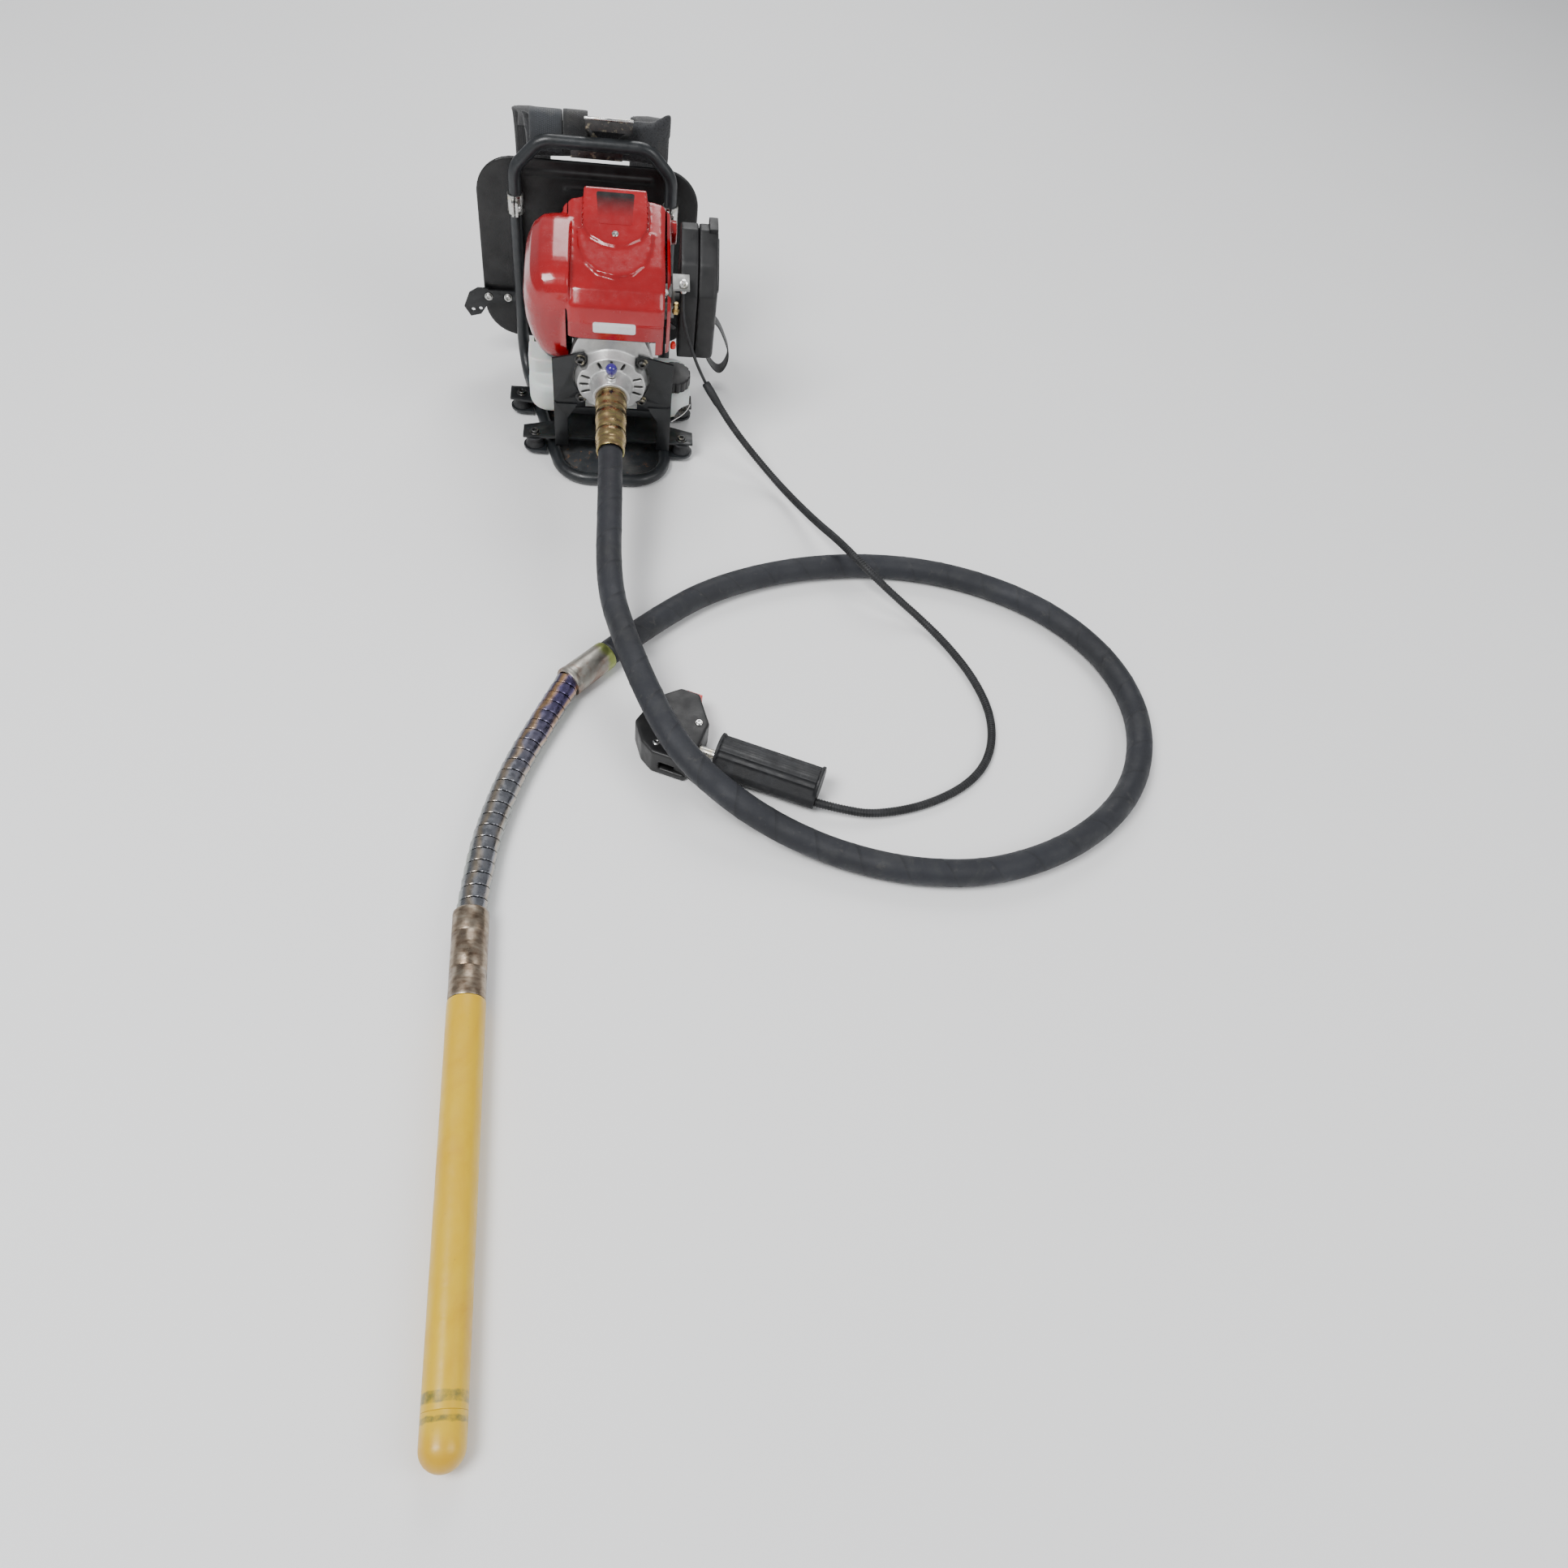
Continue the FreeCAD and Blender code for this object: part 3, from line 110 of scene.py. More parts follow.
# Camera, floor and light.
SENSOR_WIDTH = 36.0
FAR_CLIP = 50.0
FLOOR_HALF = 14.0
FLOOR_GAP = 0.0006
SKY_COLOUR = (0.95, 0.97, 1.0, 1.0)
SKY_STRENGTH = 0.42
LIT_PLACE = (0.1, -0.5, 0.05)
LAMPS = (
    ("key_light", (-1.3, -1.5, 2.8), 105.0, 1.3),
    ("fill_light", (2.4, -1.8, 2.2), 45.0, 1.8),
    ("rim_light", (0.3, 2.2, 2.4), 50.0, 1.6),
)

# Surface steps of the hose wrap, guard strip and conduit, in metres, but for the seam's share of a turn.
WRAPS_PER_METRE = 21.0
WRAP_STEP = 0.00035
SEAM_SHARE = 0.12
SEAM_DEPTH = 0.0014
STRIP_LEAN = 0.0009
RIB_HEIGHT = 0.0007

# Shapes in millimetres: side outlines as (y, z), plans as (x, y), sections as (x, z).
HEAD_RADIUS = 17.5
CONNECTOR_LEN = 94.0
HEAD_LEN = 376.0
COVER_SIDE = [
    (4.0, 40.0), (5.0, 84.0), (13.0, 103.0), (28.0, 116.0), (60.0, 124.5), (110.0, 131.0),
    (162.0, 137.0), (166.0, 128.0), (166.0, 40.0),
]
COVER_INSIDE = [
    (7.5, 30.0), (8.5, 82.0), (16.5, 100.0), (30.0, 112.0), (62.0, 120.5), (110.0, 127.0),
    (160.0, 132.0), (162.5, 30.0),
]
SCOOP_PLAN = [
    (-35.0, 166.0), (-37.0, 130.0), (-35.0, 110.0), (-27.0, 96.0), (-12.0, 87.0), (3.0, 84.0),
    (18.0, 87.0), (33.0, 96.0), (41.0, 110.0), (43.0, 130.0), (41.0, 166.0),
]
DOME_PLAN = [
    (-42.0, 110.0), (-40.0, 84.0), (-33.0, 62.0), (-18.0, 47.0), (3.0, 42.0), (24.0, 47.0),
    (39.0, 62.0), (46.0, 84.0), (48.0, 110.0),
]
BULGE_SECTION = [
    (-50, -8), (-68, -7), (-82, 0), (-93, 14), (-101, 34), (-106, 58), (-107, 82), (-104, 104),
    (-97, 121), (-86, 131), (-70, 134), (-50, 134),
]
VENTS = 5
SLEEVE_STEPS = ((15.0, 19.5), (11.0, 18.7), (16.0, 19.1), (15.0, 18.3), (13.0, 18.7), (8.0, 17.8))
BALL_RADIUS = 7.3
BALL_HEIGHT = 38.6
PIN_TOP = 30.5
STRAP_LINE = [
    (132.0, 318.0), (150.0, 326.0), (172.0, 323.0), (192.0, 302.0), (205.0, 262.0), (203.0, 216.0),
    (198.0, 168.0), (192.0, 132.0), (184.0, 98.0), (175.0, 68.0), (163.0, 49.0), (143.0, 45.5),
    (124.0, 46.5),
]
LOOP_LINE = [
    (98.5, 101), (118, 102), (138, 98), (152, 72), (162, 44), (154, 20), (144, 18), (130, 36),
    (118, 64), (113, 90), (98.5, 94.5),
]
BUCKLE_AT = 0.63

# Cloth run, and how far the neck pad's lower edge hangs down in metres.
CLOTH_FRAMES = 20
NECK_DROP = 0.013

# Plain bands round the head, as (distance from the guard's end of the connector, half width) in metres.
STEP_MARK = (0.052, 0.0022)
TIP_BANDS = ((0.423, 0.0035), (0.438, 0.0016))

# Frame nodes that stay as they are and only get a finish.
NODE_LOOKS = {
    "bright": ("crankshaft", "bearings"),
    "zinc": ("clutch_drum", "eccentric_rotor", "handle_tube", "throttle_arm"),
    "dark_steel": ("clutch_shoes", "muffler"),
    "alloy": ("flywheel", "piston"),
    "ceramic": ("spark_plug",),
    "rubber": ("primer_bulb",),
    "coat": ("base_loop", "left_upright", "right_upright", "top_bow"),
}


def in_metres(route):
    return [(x * MM, y * MM, z * MM) for x, y, z in route]


# ---- settings -----------------------------------------------------------------------------------
def colour(name, description, value):
    return bpy.props.FloatVectorProperty(
        name=name, description=description, default=value, subtype="COLOR", size=3, min=0.0, max=1.0
    )


def length(name, description, value):
    return bpy.props.FloatProperty(name=name, description=description, default=value, unit="LENGTH")


def turn(name, description, degrees):
    return bpy.props.FloatProperty(
        name=name, description=description, default=math.radians(degrees), subtype="ANGLE"
    )


class VibratorColours(bpy.types.PropertyGroup):
    red: colour("Cover red", "Moulded engine cover", (0.34, 0.002, 0.006))
    yellow: colour("Head yellow", "Enamel of the poker head", (0.64, 0.40, 0.0))
    hose: colour("Hose", "Cloth-marked rubber of the flexible shaft", (0.0075, 0.0085, 0.012))
    charcoal: colour("Frame paint", "Powder coat of the frame tubes", (0.010, 0.0115, 0.013))
    black: colour("Black plastic", "Moulded black parts", (0.0065, 0.0065, 0.007))
    tank: colour("Tank", "Milky tank plastic", (0.70, 0.71, 0.69))
    knob: colour("Knob", "Ball of the lock pin", (0.030, 0.015, 0.22))
    switch: colour("Switch", "Stop switch", (0.62, 0.015, 0.010))
    floor: colour("Floor", "Studio floor", (0.90, 0.90, 0.90))


class VibratorSizes(bpy.types.PropertyGroup):
    hose_diameter: length("Hose diameter", "Outside of the flexible shaft", 0.030)
    guard_diameter: length("Guard diameter", "Outside of the steel bend guard", 0.029)
    guard_pitch: length("Guard pitch", "One turn of the interlocked strip", 0.0145)
    cable_diameter: length("Cable diameter", "Throttle cable outer", 0.004)
    conduit_diameter: length("Conduit diameter", "Outside of the ribbed conduit", 0.010)
    conduit_pitch: length("Conduit rib pitch", "Distance from rib to rib", 0.0032)
    stitch_pitch: length("Stitch pitch", "Distance from stitch to stitch", 0.0042)


class VibratorView(bpy.types.PropertyGroup):
    place: bpy.props.FloatVectorProperty(
        name="Camera place", description="Where the camera stands", size=3, subtype="TRANSLATION",
        unit="LENGTH", default=(0.0, -1.4129, 1.0179),
    )
    heading: turn("Heading", "Turn from straight back towards the right", 13.685)
    pitch: turn("Pitch", "Angle below the horizon", 52.15)
    roll: turn("Roll", "Turn about the line of sight", 11.456)
    lens: bpy.props.FloatProperty(
        name="Lens", description="Focal length in millimetres on a 36 mm wide sensor", default=27.02
    )


def colours():
    return bpy.context.scene.vibrator_colours


def sizes():
    return bpy.context.scene.vibrator_sizes


# ---- mesh helpers -------------------------------------------------------------------------------
def new_object(name, data):
    obj = bpy.data.objects.new(name, data)
    bpy.context.scene.collection.objects.link(obj)
    return obj


def smooth(mesh, angle=None):
    """Shade a mesh smooth, but for the edges sharper than an angle in degrees."""
    mesh.polygons.foreach_set("use_smooth", [True] * len(mesh.polygons))
    if angle is not None:
        mesh.set_sharp_from_angle(angle=math.radians(angle))
    return mesh


@contextmanager
def opened(mesh):
    """A bmesh over a mesh, written back at the end of the block."""
    bm = bmesh.new()
    bm.from_mesh(mesh)
    yield bm
    bm.to_mesh(mesh)
    bm.free()


def outward(mesh):
    with opened(mesh) as bm:
        bmesh.ops.recalc_face_normals(bm, faces=bm.faces)
    return mesh


def plain_mesh(name, verts, faces=(), edges=()):
    mesh = bpy.data.meshes.new(name)
    mesh.from_pydata([tuple(v) for v in verts], list(edges), list(faces))
    return mesh


def mesh_of(name, verts, faces):
    """A closed mesh whose faces point outwards."""
    return outward(plain_mesh(name, verts, faces))


def modifier(obj, kind, **settings):
    step = obj.modifiers.new(kind.lower(), kind)
    for name, value in settings.items():
        setattr(step, name, value)
    return step


def bake(obj):
    """Apply an object's modifiers and leave a plain mesh."""
    graph = bpy.context.evaluated_depsgraph_get()
    mesh = bpy.data.meshes.new_from_object(obj.evaluated_get(graph))
    obj.modifiers.clear()
    old = obj.data
    obj.data = mesh
    bpy.data.meshes.remove(old)
    return obj


def ring_faces(rings, count):
    """Two end caps and the sides over rings of equally many points."""
    faces = [tuple(range(count)), tuple(range((rings - 1) * count, rings * count))]
    for k in range(rings - 1):
        for i in range(count):
            j = (i + 1) % count
            faces.append((k * count + i, k * count + j, (k + 1) * count + j, (k + 1) * count + i))
    return faces


def skinned(name, verts, count):
    """Closed skin over rings of equally many points."""
    return mesh_of(name, verts, ring_faces(len(verts) // count, count))


def prism(name, outline, axis, low, high):
    """Closed prism over an outline; axis X takes (y, z) points, Y takes (x, z), Z takes (x, y)."""
    def place(a, b, c):
        return Vector({"X": (c, a, b), "Y": (a, c, b), "Z": (a, b, c)}[axis]) * MM

    verts = [place(a, b, level) for level in (low, high) for a, b in outline]
    return skinned(name, verts, len(outline))


def block(name, low, high):
    outline = [(low[0], low[1]), (high[0], low[1]), (high[0], high[1]), (low[0], high[1])]
    return prism(name, outline, "Z", low[2], high[2])


def lathe(name, profile, segments=96):
    """Turn (radius, height) points about Z; UV holds the angle's share and the height in metres."""
    verts = []
    rings = []
    for radius, height in profile:
        start = len(verts)
        if radius < ON_AXIS:
            rings.append([start] * segments)
            verts.append(Vector((0, 0, height)) * MM)
            continue
        rings.append(list(range(start, start + segments)))
        for i in range(segments):
            angle = 2 * math.pi * i / segments
            verts.append(Vector((radius * math.cos(angle), radius * math.sin(angle), height)) * MM)
    faces = []
    for low, high in zip(rings, rings[1:]):
        for i in range(segments):
            j = (i + 1) % segments
            corner = list(dict.fromkeys((low[i], low[j], high[j], high[i])))
            if len(corner) > 2:
                faces.append(corner)
    mesh = mesh_of(name, verts, faces)
    layer = mesh.uv_layers.new(name="turned")
    for face in mesh.polygons:
        centre = math.atan2(face.center.y, face.center.x) / (2 * math.pi)
        for loop in face.loop_indices:
            co = mesh.vertices[mesh.loops[loop].vertex_index].co
            share = math.atan2(co.y, co.x) / (2 * math.pi)
            layer.data[loop].uv = (share + round(centre - share), co.z)
    return mesh


def along(start, direction):
    """Matrix that carries +Z to a direction and the origin to a start point in metres."""
    return Matrix.Translation(start) @ Vector(direction).to_track_quat("Z", "Y").to_matrix().to_4x4()


def spline_points(route):
    """Points of the smooth spline that has the route as its control points."""
    curve = bpy.data.curves.new("route", "CURVE")
    curve.dimensions = "3D"
    spline = curve.splines.new("NURBS")
    spline.points.add(len(route) - 1)
    for point, co in zip(spline.points, route):
        point.co = (*co, 1.0)
    spline.order_u = 3
    spline.use_endpoint_u = True
    spline.resolution_u = SPLINE_STEPS
    obj = new_object("route", curve)
    graph = bpy.context.evaluated_depsgraph_get()
    mesh = bpy.data.meshes.new_from_object(obj.evaluated_get(graph))
    points = [v.co.copy() for v in mesh.vertices]
    bpy.data.meshes.remove(mesh)
    bpy.data.objects.remove(obj)
    bpy.data.curves.remove(curve)
    return points


def evenly(points, step):
    """The same line with points at an even spacing."""
    marks = [0.0]
    for a, b in zip(points, points[1:]):
        marks.append(marks[-1] + (b - a).length)
    count = max(2, round(marks[-1] / step))
    out = []
    k = 0
    for i in range(count + 1):
        s = marks[-1] * i / count
        while k < len(marks) - 2 and marks[k + 1] < s:
            k += 1
        share = (s - marks[k]) / max(marks[k + 1] - marks[k], 1e-9)
        out.append(points[k].lerp(points[k + 1], min(max(share, 0.0), 1.0)))
    return out


def line_of(route, step):
    """Evenly spaced points on the smooth spline of a route."""
    return evenly(spline_points(route), step)


def carried_frames(points, first=UP):
    """Side and normal vectors carried along a line without twist."""
    frames = []
    normal = first
    for i, point in enumerate(points):
        tangent = (points[min(i + 1, len(points) - 1)] - points[max(i - 1, 0)]).normalized()
        normal = (normal - tangent * normal.dot(tangent)).normalized()
        frames.append((point, tangent.cross(normal), normal))
    return frames


def sweep(name, points, section, first=UP):
    """Skin of a section carried along a line; section(s, share) gives (side, normal) offsets in metres."""
    verts = []
    runs = []
    s = 0.0
    last = points[0]
    total = sum((b - a).length for a, b in zip(points, points[1:]))
    for centre, side, normal in carried_frames(points, first):
        s += (centre - last).length
        last = centre
        runs.append(s)
        ring = section(s, s / total)
        verts += [centre + side * a + normal * b for a, b in ring]
    count = len(ring)
    mesh = skinned(name, verts, count)
    layer = mesh.uv_layers.new(name="run")
    for face in mesh.polygons:
        ids = [mesh.loops[loop].vertex_index for loop in face.loop_indices]
        wraps = {0, count - 1} <= {i % count for i in ids}
        for loop, i in zip(face.loop_indices, ids):
            place = count if wraps and i % count == 0 else i % count
            layer.data[loop].uv = (runs[i // count], place / count)
    return mesh


def round_section(radius, count):
    """Circular section for sweep; radius(s, share) follows the run and the turn."""
    def section(s, share):
        ring = []
        for i in range(count):
            angle = 2 * math.pi * i / count
            r = radius(s, i / count)
            ring.append((r * math.cos(angle), r * math.sin(angle)))
        return ring

    return section


def even_section(radius, count):
    return round_section(lambda s, share: radius, count)


def moulded(name, parts, voxel, rounds):
    """Melt closed solids into one skin and relax it, so its edges are soft as a moulding's are."""
    mesh = bpy.data.meshes.new(name)
    with opened(mesh) as bm:
        for part in parts:
            bm.from_mesh(part)
            bpy.data.meshes.remove(part)
    obj = new_object(name, mesh)
    modifier(obj, "REMESH", mode="VOXEL", voxel_size=voxel * MM)
    modifier(obj, "SMOOTH", factor=0.5, iterations=rounds)
    bake(obj)
    smooth(obj.data)
    return obj


def cut(obj, cutter):
    """Take a cutter mesh out of an object."""
    tool = new_object("cutter", cutter)
    modifier(obj, "BOOLEAN", operation="DIFFERENCE", solver="EXACT", object=tool)
    bake(obj)
    bpy.data.objects.remove(tool)
    bpy.data.meshes.remove(cutter)


def node_copy(node):
    """A merged copy of a frame node's mesh, without its stored normals."""
    bm = bmesh.new()
    bm.from_mesh(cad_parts[node].data)
    bmesh.ops.remove_doubles(bm, verts=bm.verts, dist=MERGE_GAP)
    bm.verts.index_update()
    mesh = plain_mesh(node, [v.co for v in bm.verts], [[v.index for v in f.verts] for f in bm.faces])
    bm.free()
    return mesh


def belongs(obj, look, nodes=(), body="backpack"):
    """Give a piece its looks, its body and the nodes it stands for."""
    if look is not None:
        obj.data.materials.clear()
        obj.data.materials.append(finish(look))
    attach(obj, body)
    if nodes:
        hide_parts(*nodes)
    return obj


def piece(name, mesh, look, nodes=(), angle=None, body="backpack"):
    """A piece made from a finished mesh, with edges sharper than the angle kept."""
    return belongs(new_object(name, smooth(mesh, angle)), look, nodes, body)


def softened(name, node, voxel, rounds, look, body="backpack"):
    """A frame node's solid with the soft edges of a casting or moulding, in the node's place."""
    return belongs(moulded(name, [node_copy(node)], voxel, rounds), look, [node], body)


def bevelled(name, node, width, slot, look, body="backpack"):
    """A frame node's solid with flat faces joined up and sharp edges broken, in the node's place."""
    mesh = node_copy(node)
    with opened(mesh) as bm:
        bmesh.ops.dissolve_limit(bm, angle_limit=FLAT_ANGLE, verts=bm.verts, edges=bm.edges)
    obj = new_object(name, mesh)
    modifier(obj, "BEVEL", width=width * MM, segments=2, limit_method="ANGLE", angle_limit=SHARP_ANGLE)
    bake(obj)
    smooth(obj.data, 30)
    return belongs(obj, look, [node], body)


def patch(name, target, centre, up, size, radius, thickness, cells=(24, 12), taper=1.0):
    """Thin rounded plate laid on a surface: a grid dropped on the target along its own normal."""
    turned = ENGINE.to_3x3()
    centre = ENGINE @ (Vector(centre) * MM)
    across = turned @ Vector((1, 0, 0))
    up = (turned @ Vector(up)).normalized()
    inward = up.cross(across).normalized()
    half = Vector(size) * MM / 2
    r = radius * MM
    wide = cells[0] + 1
    verts = []
    for j in range(cells[1] + 1):
        for i in range(wide):
            a = (2 * i / cells[0] - 1) * half.x
            b = (2 * j / cells[1] - 1) * half.y
            over = Vector((max(abs(a) - half.x + r, 0.0), max(abs(b) - half.y + r, 0.0)))
            if over.x > 0 and over.y > 0 and over.length > r:
                over *= r / over.length
                a = math.copysign(half.x - r + over.x, a)
                b = math.copysign(half.y - r + over.y, b)
            a *= taper + (1 - taper) * (b / half.y + 1) / 2
            start = centre + across * a + up * b - inward * DROP_FROM
            hit, place, normal, face = target.ray_cast(start, inward)
            if not hit:
                raise RuntimeError("%s misses its surface" % name)
            verts.append(place + normal * thickness * MM)
    faces = []
    for j in range(cells[1]):
        for i in range(cells[0]):
            k = j * wide + i
            faces.append((k, k + wide, k + wide + 1, k + 1))
    mesh = plain_mesh(name, verts, faces)
    layer = mesh.uv_layers.new(name="face")
    for loop in mesh.loops:
        i = loop.vertex_index
        layer.data[loop.index].uv = ((i % wide) / cells[0], (i // wide) / cells[1])
    with opened(mesh) as bm:
        bm.normal_update()
        if sum((f.normal for f in bm.faces), Vector()).dot(inward) > 0:
            bmesh.ops.reverse_faces(bm, faces=bm.faces)
    obj = new_object(name, mesh)
    modifier(obj, "SOLIDIFY", thickness=thickness * MM * 1.5, offset=-1.0)
    bake(obj)
    smooth(obj.data, 40)
    return obj


# ---- pieces that repeat -------------------------------------------------------------------------
def wire(tree, *pairs):
    for source, target in pairs:
        tree.links.new(source, target)


def along_path(tree, given, put):
    """Even places along a path, each turned with it."""
    line = tree.nodes.new("GeometryNodeMeshToCurve")
    points = tree.nodes.new("GeometryNodeCurveToPoints")
    points.mode = "LENGTH"
    wire(
        tree,
        (given["Geometry"], line.inputs["Mesh"]),
        (line.outputs["Curve"], points.inputs["Curve"]),
        (given["Spacing"], points.inputs["Length"]),
        (points.outputs["Points"], put["Points"]),
        (points.outputs["Rotation"], put["Rotation"]),
    )


def at_points(tree, given, put):
    """The host's own points, each turned to the facing vector stored on it."""
    facing = tree.nodes.new("GeometryNodeInputNamedAttribute")
    facing.data_type = "FLOAT_VECTOR"
    facing.inputs["Name"].default_value = "facing"
    align = tree.nodes.new("FunctionNodeAlignRotationToVector")
    align.axis = "Z"
    wire(
        tree,
        (given["Geometry"], put["Points"]),
        (facing.outputs[0], align.inputs["Vector"]),
        (align.outputs[0], put["Rotation"]),
        (given["Scale"], put["Scale"]),
    )


def pieces_tree(placed, size):
    """A tree that puts one piece at places, makes the copies real and gives them their material."""
    tree = bpy.data.node_groups.new(placed.__name__, "GeometryNodeTree")
    inputs = (("Geometry", "Geometry"), (size, "Float"), ("Piece", "Object"), ("Material", "Material"))
    for label, kind in inputs:
        tree.interface.new_socket(label, in_out="INPUT", socket_type="NodeSocket" + kind)
    tree.interface.new_socket("Geometry", in_out="OUTPUT", socket_type="NodeSocketGeometry")
    given = tree.nodes.new("NodeGroupInput").outputs
    result = tree.nodes.new("NodeGroupOutput")
    shape = tree.nodes.new("GeometryNodeObjectInfo")
    put = tree.nodes.new("GeometryNodeInstanceOnPoints")
    real = tree.nodes.new("GeometryNodeRealizeInstances")
    dress = tree.nodes.new("GeometryNodeSetMaterial")
    placed(tree, given, put.inputs)
    wire(
        tree,
        (given["Piece"], shape.inputs["Object"]),
        (shape.outputs["Geometry"], put.inputs["Instance"]),
        (put.outputs["Instances"], real.inputs["Geometry"]),
        (real.outputs[0], dress.inputs["Geometry"]),
        (given["Material"], dress.inputs["Material"]),
        (dress.outputs[0], result.inputs["Geometry"]),
    )
    return tree


def grown(name, host, placed, size, amount, small, look):
    """Small pieces put on a host mesh by a tree, as one plain mesh; inputs are set by identifier."""
    part = new_object(name + "_one", small)
    obj = new_object(name, host)
    tree = pieces_tree(placed, size)
    step = modifier(obj, "NODES", node_group=tree)
    values = {size: amount, "Piece": part, "Material": finish(look)}
    for item in tree.interface.items_tree:
        if item.in_out == "INPUT" and item.name in values:
            step[item.identifier] = values[item.name]
    bake(obj)
    smooth(obj.data, 35)
    bpy.data.objects.remove(part)
    return obj


def pieces_along(name, points, spacing, small, look):
    """Small pieces along a line; the small piece is a mesh about the origin, its Z along the line."""
    edges = [(i, i + 1) for i in range(len(points) - 1)]
    return grown(name, plain_mesh(name, points, edges=edges), along_path, "Spacing", spacing, small, look)


def pieces_at(name, places, small, look):
    """Small pieces at (place, facing) pairs, their Z along the facing."""
    mesh = plain_mesh(name, [place for place, direction in places])
    facing = mesh.attributes.new("facing", "FLOAT_VECTOR", "POINT")
    for i, (place, direction) in enumerate(places):
        facing.data[i].vector = Vector(direction)
    return grown(name, mesh, at_points, "Scale", 1.0, small, look)


def hex_bolt(radius, height, washer=1.35):
    """Head of a flanged socket bolt standing on the origin, with a washer under it."""
    flange = radius * washer
    socket = radius * 0.52
    return lathe("bolt_head", [
        (0.0, -0.2), (flange, -0.2), (flange, 0.8), (flange - 0.4, 1.1), (radius, 1.1),
        (radius, height - 0.7), (radius - 0.6, height), (radius * 0.58, height),
        (socket, height - 0.4), (socket, height * 0.45), (0.0, height * 0.4),
    ], 18)


def stitch():
    return lathe("stitch_one", [(0.0, -1.25), (0.38, -1.0), (0.45, 0.0), (0.38, 1.0), (0.0, 1.25)], 6)


# ---- materials ----------------------------------------------------------------------------------
class Finish:
    """Short words for building one procedural material."""

    def __init__(self, name, base, rough, metal=0.0, **sockets):
        self.material = bpy.data.materials.new(name)
        self.material.use_nodes = True
        self.tree = self.material.node_tree
        self.shader = self.tree.nodes["Principled BSDF"]
        self.put("Base Color", base)
        self.put("Roughness", rough)
        self.put("Metallic", metal)
        for socket, value in sockets.items():
            self.put(socket.replace("_", " "), value)

    def put(self, socket, value):
        target = self.shader.inputs[socket]
        if isinstance(value, bpy.types.NodeSocket):
            self.tree.links.new(value, target)
        elif target.type == "RGBA":
            target.default_value = (*value, 1.0)
        else:
            target.default_value = value

    def feed(self, node, socket, value):
        if isinstance(value, bpy.types.NodeSocket):
            self.tree.links.new(value, node.inputs[socket])
        else:
            node.inputs[socket].default_value = value

    def where(self, kind="Object", scale=(1, 1, 1)):
        source = self.tree.nodes.new("ShaderNodeTexCoord")
        mapping = self.tree.nodes.new("ShaderNodeMapping")
        mapping.inputs["Scale"].default_value = scale
        self.tree.links.new(source.outputs[kind], mapping.inputs["Vector"])
        return mapping.outputs[0]

    def noise(self, scale, detail=3.0, rough=0.5, place=None, twist=0.0):
        node = self.tree.nodes.new("ShaderNodeTexNoise")
        self.feed(node, "Vector", place or self.where())
        self.feed(node, "Scale", scale)
        self.feed(node, "Detail", detail)
        self.feed(node, "Roughness", rough)
        self.feed(node, "Distortion", twist)
        return node.outputs[0]

    def cells(self, scale, place=None):
        node = self.tree.nodes.new("ShaderNodeTexVoronoi")
        self.feed(node, "Vector", place or self.where())
        self.feed(node, "Scale", scale)
        return node.outputs["Distance"]

    def span(self, value, low, high, start=0.0, end=1.0):
        node = self.tree.nodes.new("ShaderNodeMapRange")
        self.feed(node, "Value", value)
        for socket, number in zip(("From Min", "From Max", "To Min", "To Max"), (low, high, start, end)):
            self.feed(node, socket, number)
        return node.outputs[0]

    def maths(self, operation, a, b=0.0, c=0.0):
        node = self.tree.nodes.new("ShaderNodeMath")
        node.operation = operation
        for index, value in enumerate((a, b, c)):
            self.feed(node, index, value)
        return node.outputs[0]

    def part(self, vector, axis):
        node = self.tree.nodes.new("ShaderNodeSeparateXYZ")
        self.feed(node, 0, vector)
        return node.outputs[axis]

    def mix(self, share, a, b):
        node = self.tree.nodes.new("ShaderNodeMix")
        node.data_type = "RGBA"
        self.feed(node, 0, share)
        for index, value in ((6, a), (7, b)):
            if isinstance(value, bpy.types.NodeSocket):
                self.feed(node, index, value)
            else:
                node.inputs[index].default_value = (*value, 1.0)
        return node.outputs[2]

    def ramp(self, value, stops):
        node = self.tree.nodes.new("ShaderNodeValToRGB")
        self.feed(node, 0, value)
        band = node.color_ramp.elements
        while len(band) < len(stops):
            band.new(0.5)
        for element, (place, shade) in zip(band, stops):
            element.position = place
            element.color = (*shade, 1.0)
        return node.outputs[0]

    def spots(self, scale, low, high, amount=1.0, detail=4.0, rough=0.5, twist=0.0):
        """Share from 0 to an amount, where a noise rises from low to high."""
        return self.span(self.noise(scale, detail, rough, twist=twist), low, high, 0.0, amount)

    def gloss(self, low, high, scale, detail=4.0, rough=0.5, start=0.3, end=0.7):
        """Roughness that wanders between two values."""
        self.put("Roughness", self.span(self.noise(scale, detail, rough), start, end, low, high))

    def run_and_turn(self):
        """UV of a swept piece: metres along it, and the share of a turn round it."""
        uv = self.where("UV")
        return self.part(uv, 0), self.part(uv, 1)

    def relief(self, *layers):
        """Stack (height, distance) bumps on the shader's normal."""
        under = None
        for height, distance in layers:
            node = self.tree.nodes.new("ShaderNodeBump")
            self.feed(node, "Strength", 1.0)
            self.feed(node, "Distance", distance)
            self.feed(node, "Height", height)
            if under is not None:
                self.feed(node, "Normal", under)
            under = node.outputs[0]
        self.put("Normal", under)


def tint(base, factor):
    return tuple(min(c * factor, 1.0) for c in base)


def dusted(fin, base, dust, scale, amount):
    """Base colour with soft dust patches."""
    return fin.mix(fin.spots(scale, 0.52, 0.74, amount, 6.0, 0.6, 0.6), base, dust)


